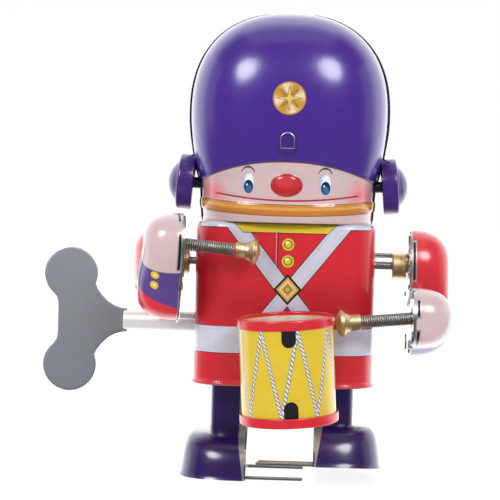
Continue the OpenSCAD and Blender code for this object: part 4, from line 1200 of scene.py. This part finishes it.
def studio_world():
    """White to the camera. Mattes and gloss each see a ramp from a dark front to a bright back."""
    world = bpy.data.worlds.new("studio")
    world.use_nodes = True
    tree = world.node_tree
    tree.nodes.clear()
    link = tree.links.new
    output, background, direction, parts, matte, gloss, pick, lift, seen = (
        tree.nodes.new(f"ShaderNode{kind}") for kind in (
            "OutputWorld", "Background", "TexCoord", "SeparateXYZ", "MapRange", "MapRange", "Mix", "Math", "LightPath"))
    link(direction.outputs["Generated"], parts.inputs[0])
    for ramp, start, end, low, high in ((matte, -0.75, 0.15, 0.12, 0.85), (gloss, 0.1, 0.5, 0.13, 1.7)):
        link(parts.outputs["Y"], ramp.inputs["Value"])
        set_inputs(ramp, {"From Min": start, "From Max": end, "To Min": low, "To Max": high})
    link(seen.outputs["Is Glossy Ray"], pick.inputs[0])
    link(matte.outputs["Result"], pick.inputs[2])
    link(gloss.outputs["Result"], pick.inputs[3])
    lift.operation = "MAXIMUM"
    link(pick.outputs[0], lift.inputs[0])
    link(seen.outputs["Is Camera Ray"], lift.inputs[1])
    link(lift.outputs[0], background.inputs["Strength"])
    background.inputs["Color"].default_value = (1, 1, 1, 1)
    link(background.outputs[0], output.inputs[0])
    return world


def studio():
    """A pale floor, the world and the lamps."""
    scene = bpy.context.scene
    scene.view_settings.view_transform = "Standard"
    floor_mesh = bpy.data.meshes.new("floor")
    size = 3.0
    floor_mesh.from_pydata([(-size, -size, 0), (size, -size, 0), (size, size, 0), (-size, size, 0)], [],
                           [(0, 1, 2, 3)])
    floor = bpy.data.objects.new("floor", floor_mesh)
    scene.collection.objects.link(floor)
    floor.visible_glossy = False
    pale = bpy.data.materials.new("floor_pale")
    pale.use_nodes = True
    set_inputs(pale.node_tree.nodes["Principled BSDF"], {
        "Base Color": (0.18, 0.18, 0.18, 1), "Roughness": 0.6, "Emission Color": (1, 1, 1, 1),
        "Emission Strength": 0.88})
    floor_mesh.materials.append(pale)
    scene.world = studio_world()

    # Each lamp's name, place, width, power, shape, and whether mattes and gloss see it.
    lamps = [("lamp_left", (-0.42, -0.62, 0.48), 0.20, 2.5, "DISK", True, False),
             ("lamp_right", (0.40, -0.66, 0.50), 0.20, 2.5, "DISK", True, False),
             ("gleam_left", (-0.42, -0.62, 0.57), 0.34, 4.6, "DISK", False, True),
             ("gleam_right", (0.40, -0.66, 0.63), 0.38, 5.4, "DISK", False, True),
             ("lamp_top", (0.0, 0.05, 0.95), 0.8, 1.3, "SQUARE", True, True),
             ("lamp_side_left", (-0.85, 0.10, 0.30), 0.6, 0.8, "SQUARE", True, True),
             ("lamp_side_right", (0.85, 0.10, 0.30), 0.6, 0.8, "SQUARE", True, True)]
    for name, place, size, power, shape, on_mattes, on_gloss in lamps:
        light = bpy.data.lights.new(name, "AREA")
        light.shape, light.size, light.energy = shape, size, power
        lamp = bpy.data.objects.new(name, light)
        lamp.location = place
        aim = Vector((0, 0, 0.07)) - Vector(place)
        lamp.rotation_euler = aim.to_track_quat("-Z", "Y").to_euler()
        lamp.visible_diffuse, lamp.visible_glossy = on_mattes, on_gloss
        scene.collection.objects.link(lamp)


def camera():
    """A long lens half a metre away, a little above the toy's middle, rolled as the toy leans."""
    distance, azimuth, pitch, roll = 520, math.radians(2.0), math.radians(2.04), math.radians(1.5)
    aim = Vector((-9.6, 0, 58.75))
    place = aim + distance * Vector((math.sin(azimuth), -math.cos(azimuth), math.tan(pitch)))
    data = bpy.data.cameras.new("camera")
    data.sensor_width = 36
    data.lens = 1956 / 500 * data.sensor_width
    lens = bpy.data.objects.new("camera", data)
    bpy.context.scene.collection.objects.link(lens)
    turn = (aim - place).to_track_quat("-Z", "Y").to_matrix().to_4x4() @ Matrix.Rotation(roll, 4, "Z")
    lens.matrix_world = Matrix.Translation(at(*place)) @ turn
    bpy.context.scene.camera = lens


camera()
studio()
coil_steel = metal("coil_steel", (0.42, 0.40, 0.38), 0.48, grain_scale=4, depth=0.004, attribute=True)
turned_brass = metal("turned_brass", (0.82, 0.63, 0.38), 0.42, grain=(0.3, 0.3, 9), grain_scale=3, depth=0.006,
                     tint=(0.60, 0.40, 0.18), attribute=True)
barrel_steel = metal("barrel_steel", (0.90, 0.92, 0.92), 0.36, grain_scale=2.5, depth=0.003, tint=(0.80, 0.82, 0.83),
                     attribute=True, metallic=0.25)
wire_steel = metal("wire_steel", (0.50, 0.50, 0.52), 0.35, grain_scale=4, depth=0.003, attribute=True)
key_steel = metal("key_steel", (0.74, 0.78, 0.86), 0.40, grain_scale=2.5, depth=0.003, tint=(0.64, 0.68, 0.76),
                  attribute=True, spread_rough=0.06)
head()
hat_tab(paint_plain("tab_enamel", PURPLE), wire_steel)
jacket()
ears()
drum()
arm_shells(paint_arm())
plate_tabs(wire_steel)
drumsticks(turned_brass, coil_steel)
bushes(turned_brass)
legs()
foot_wires(wire_steel)
winding_key(key_steel, barrel_steel)
dress_cad_nodes()
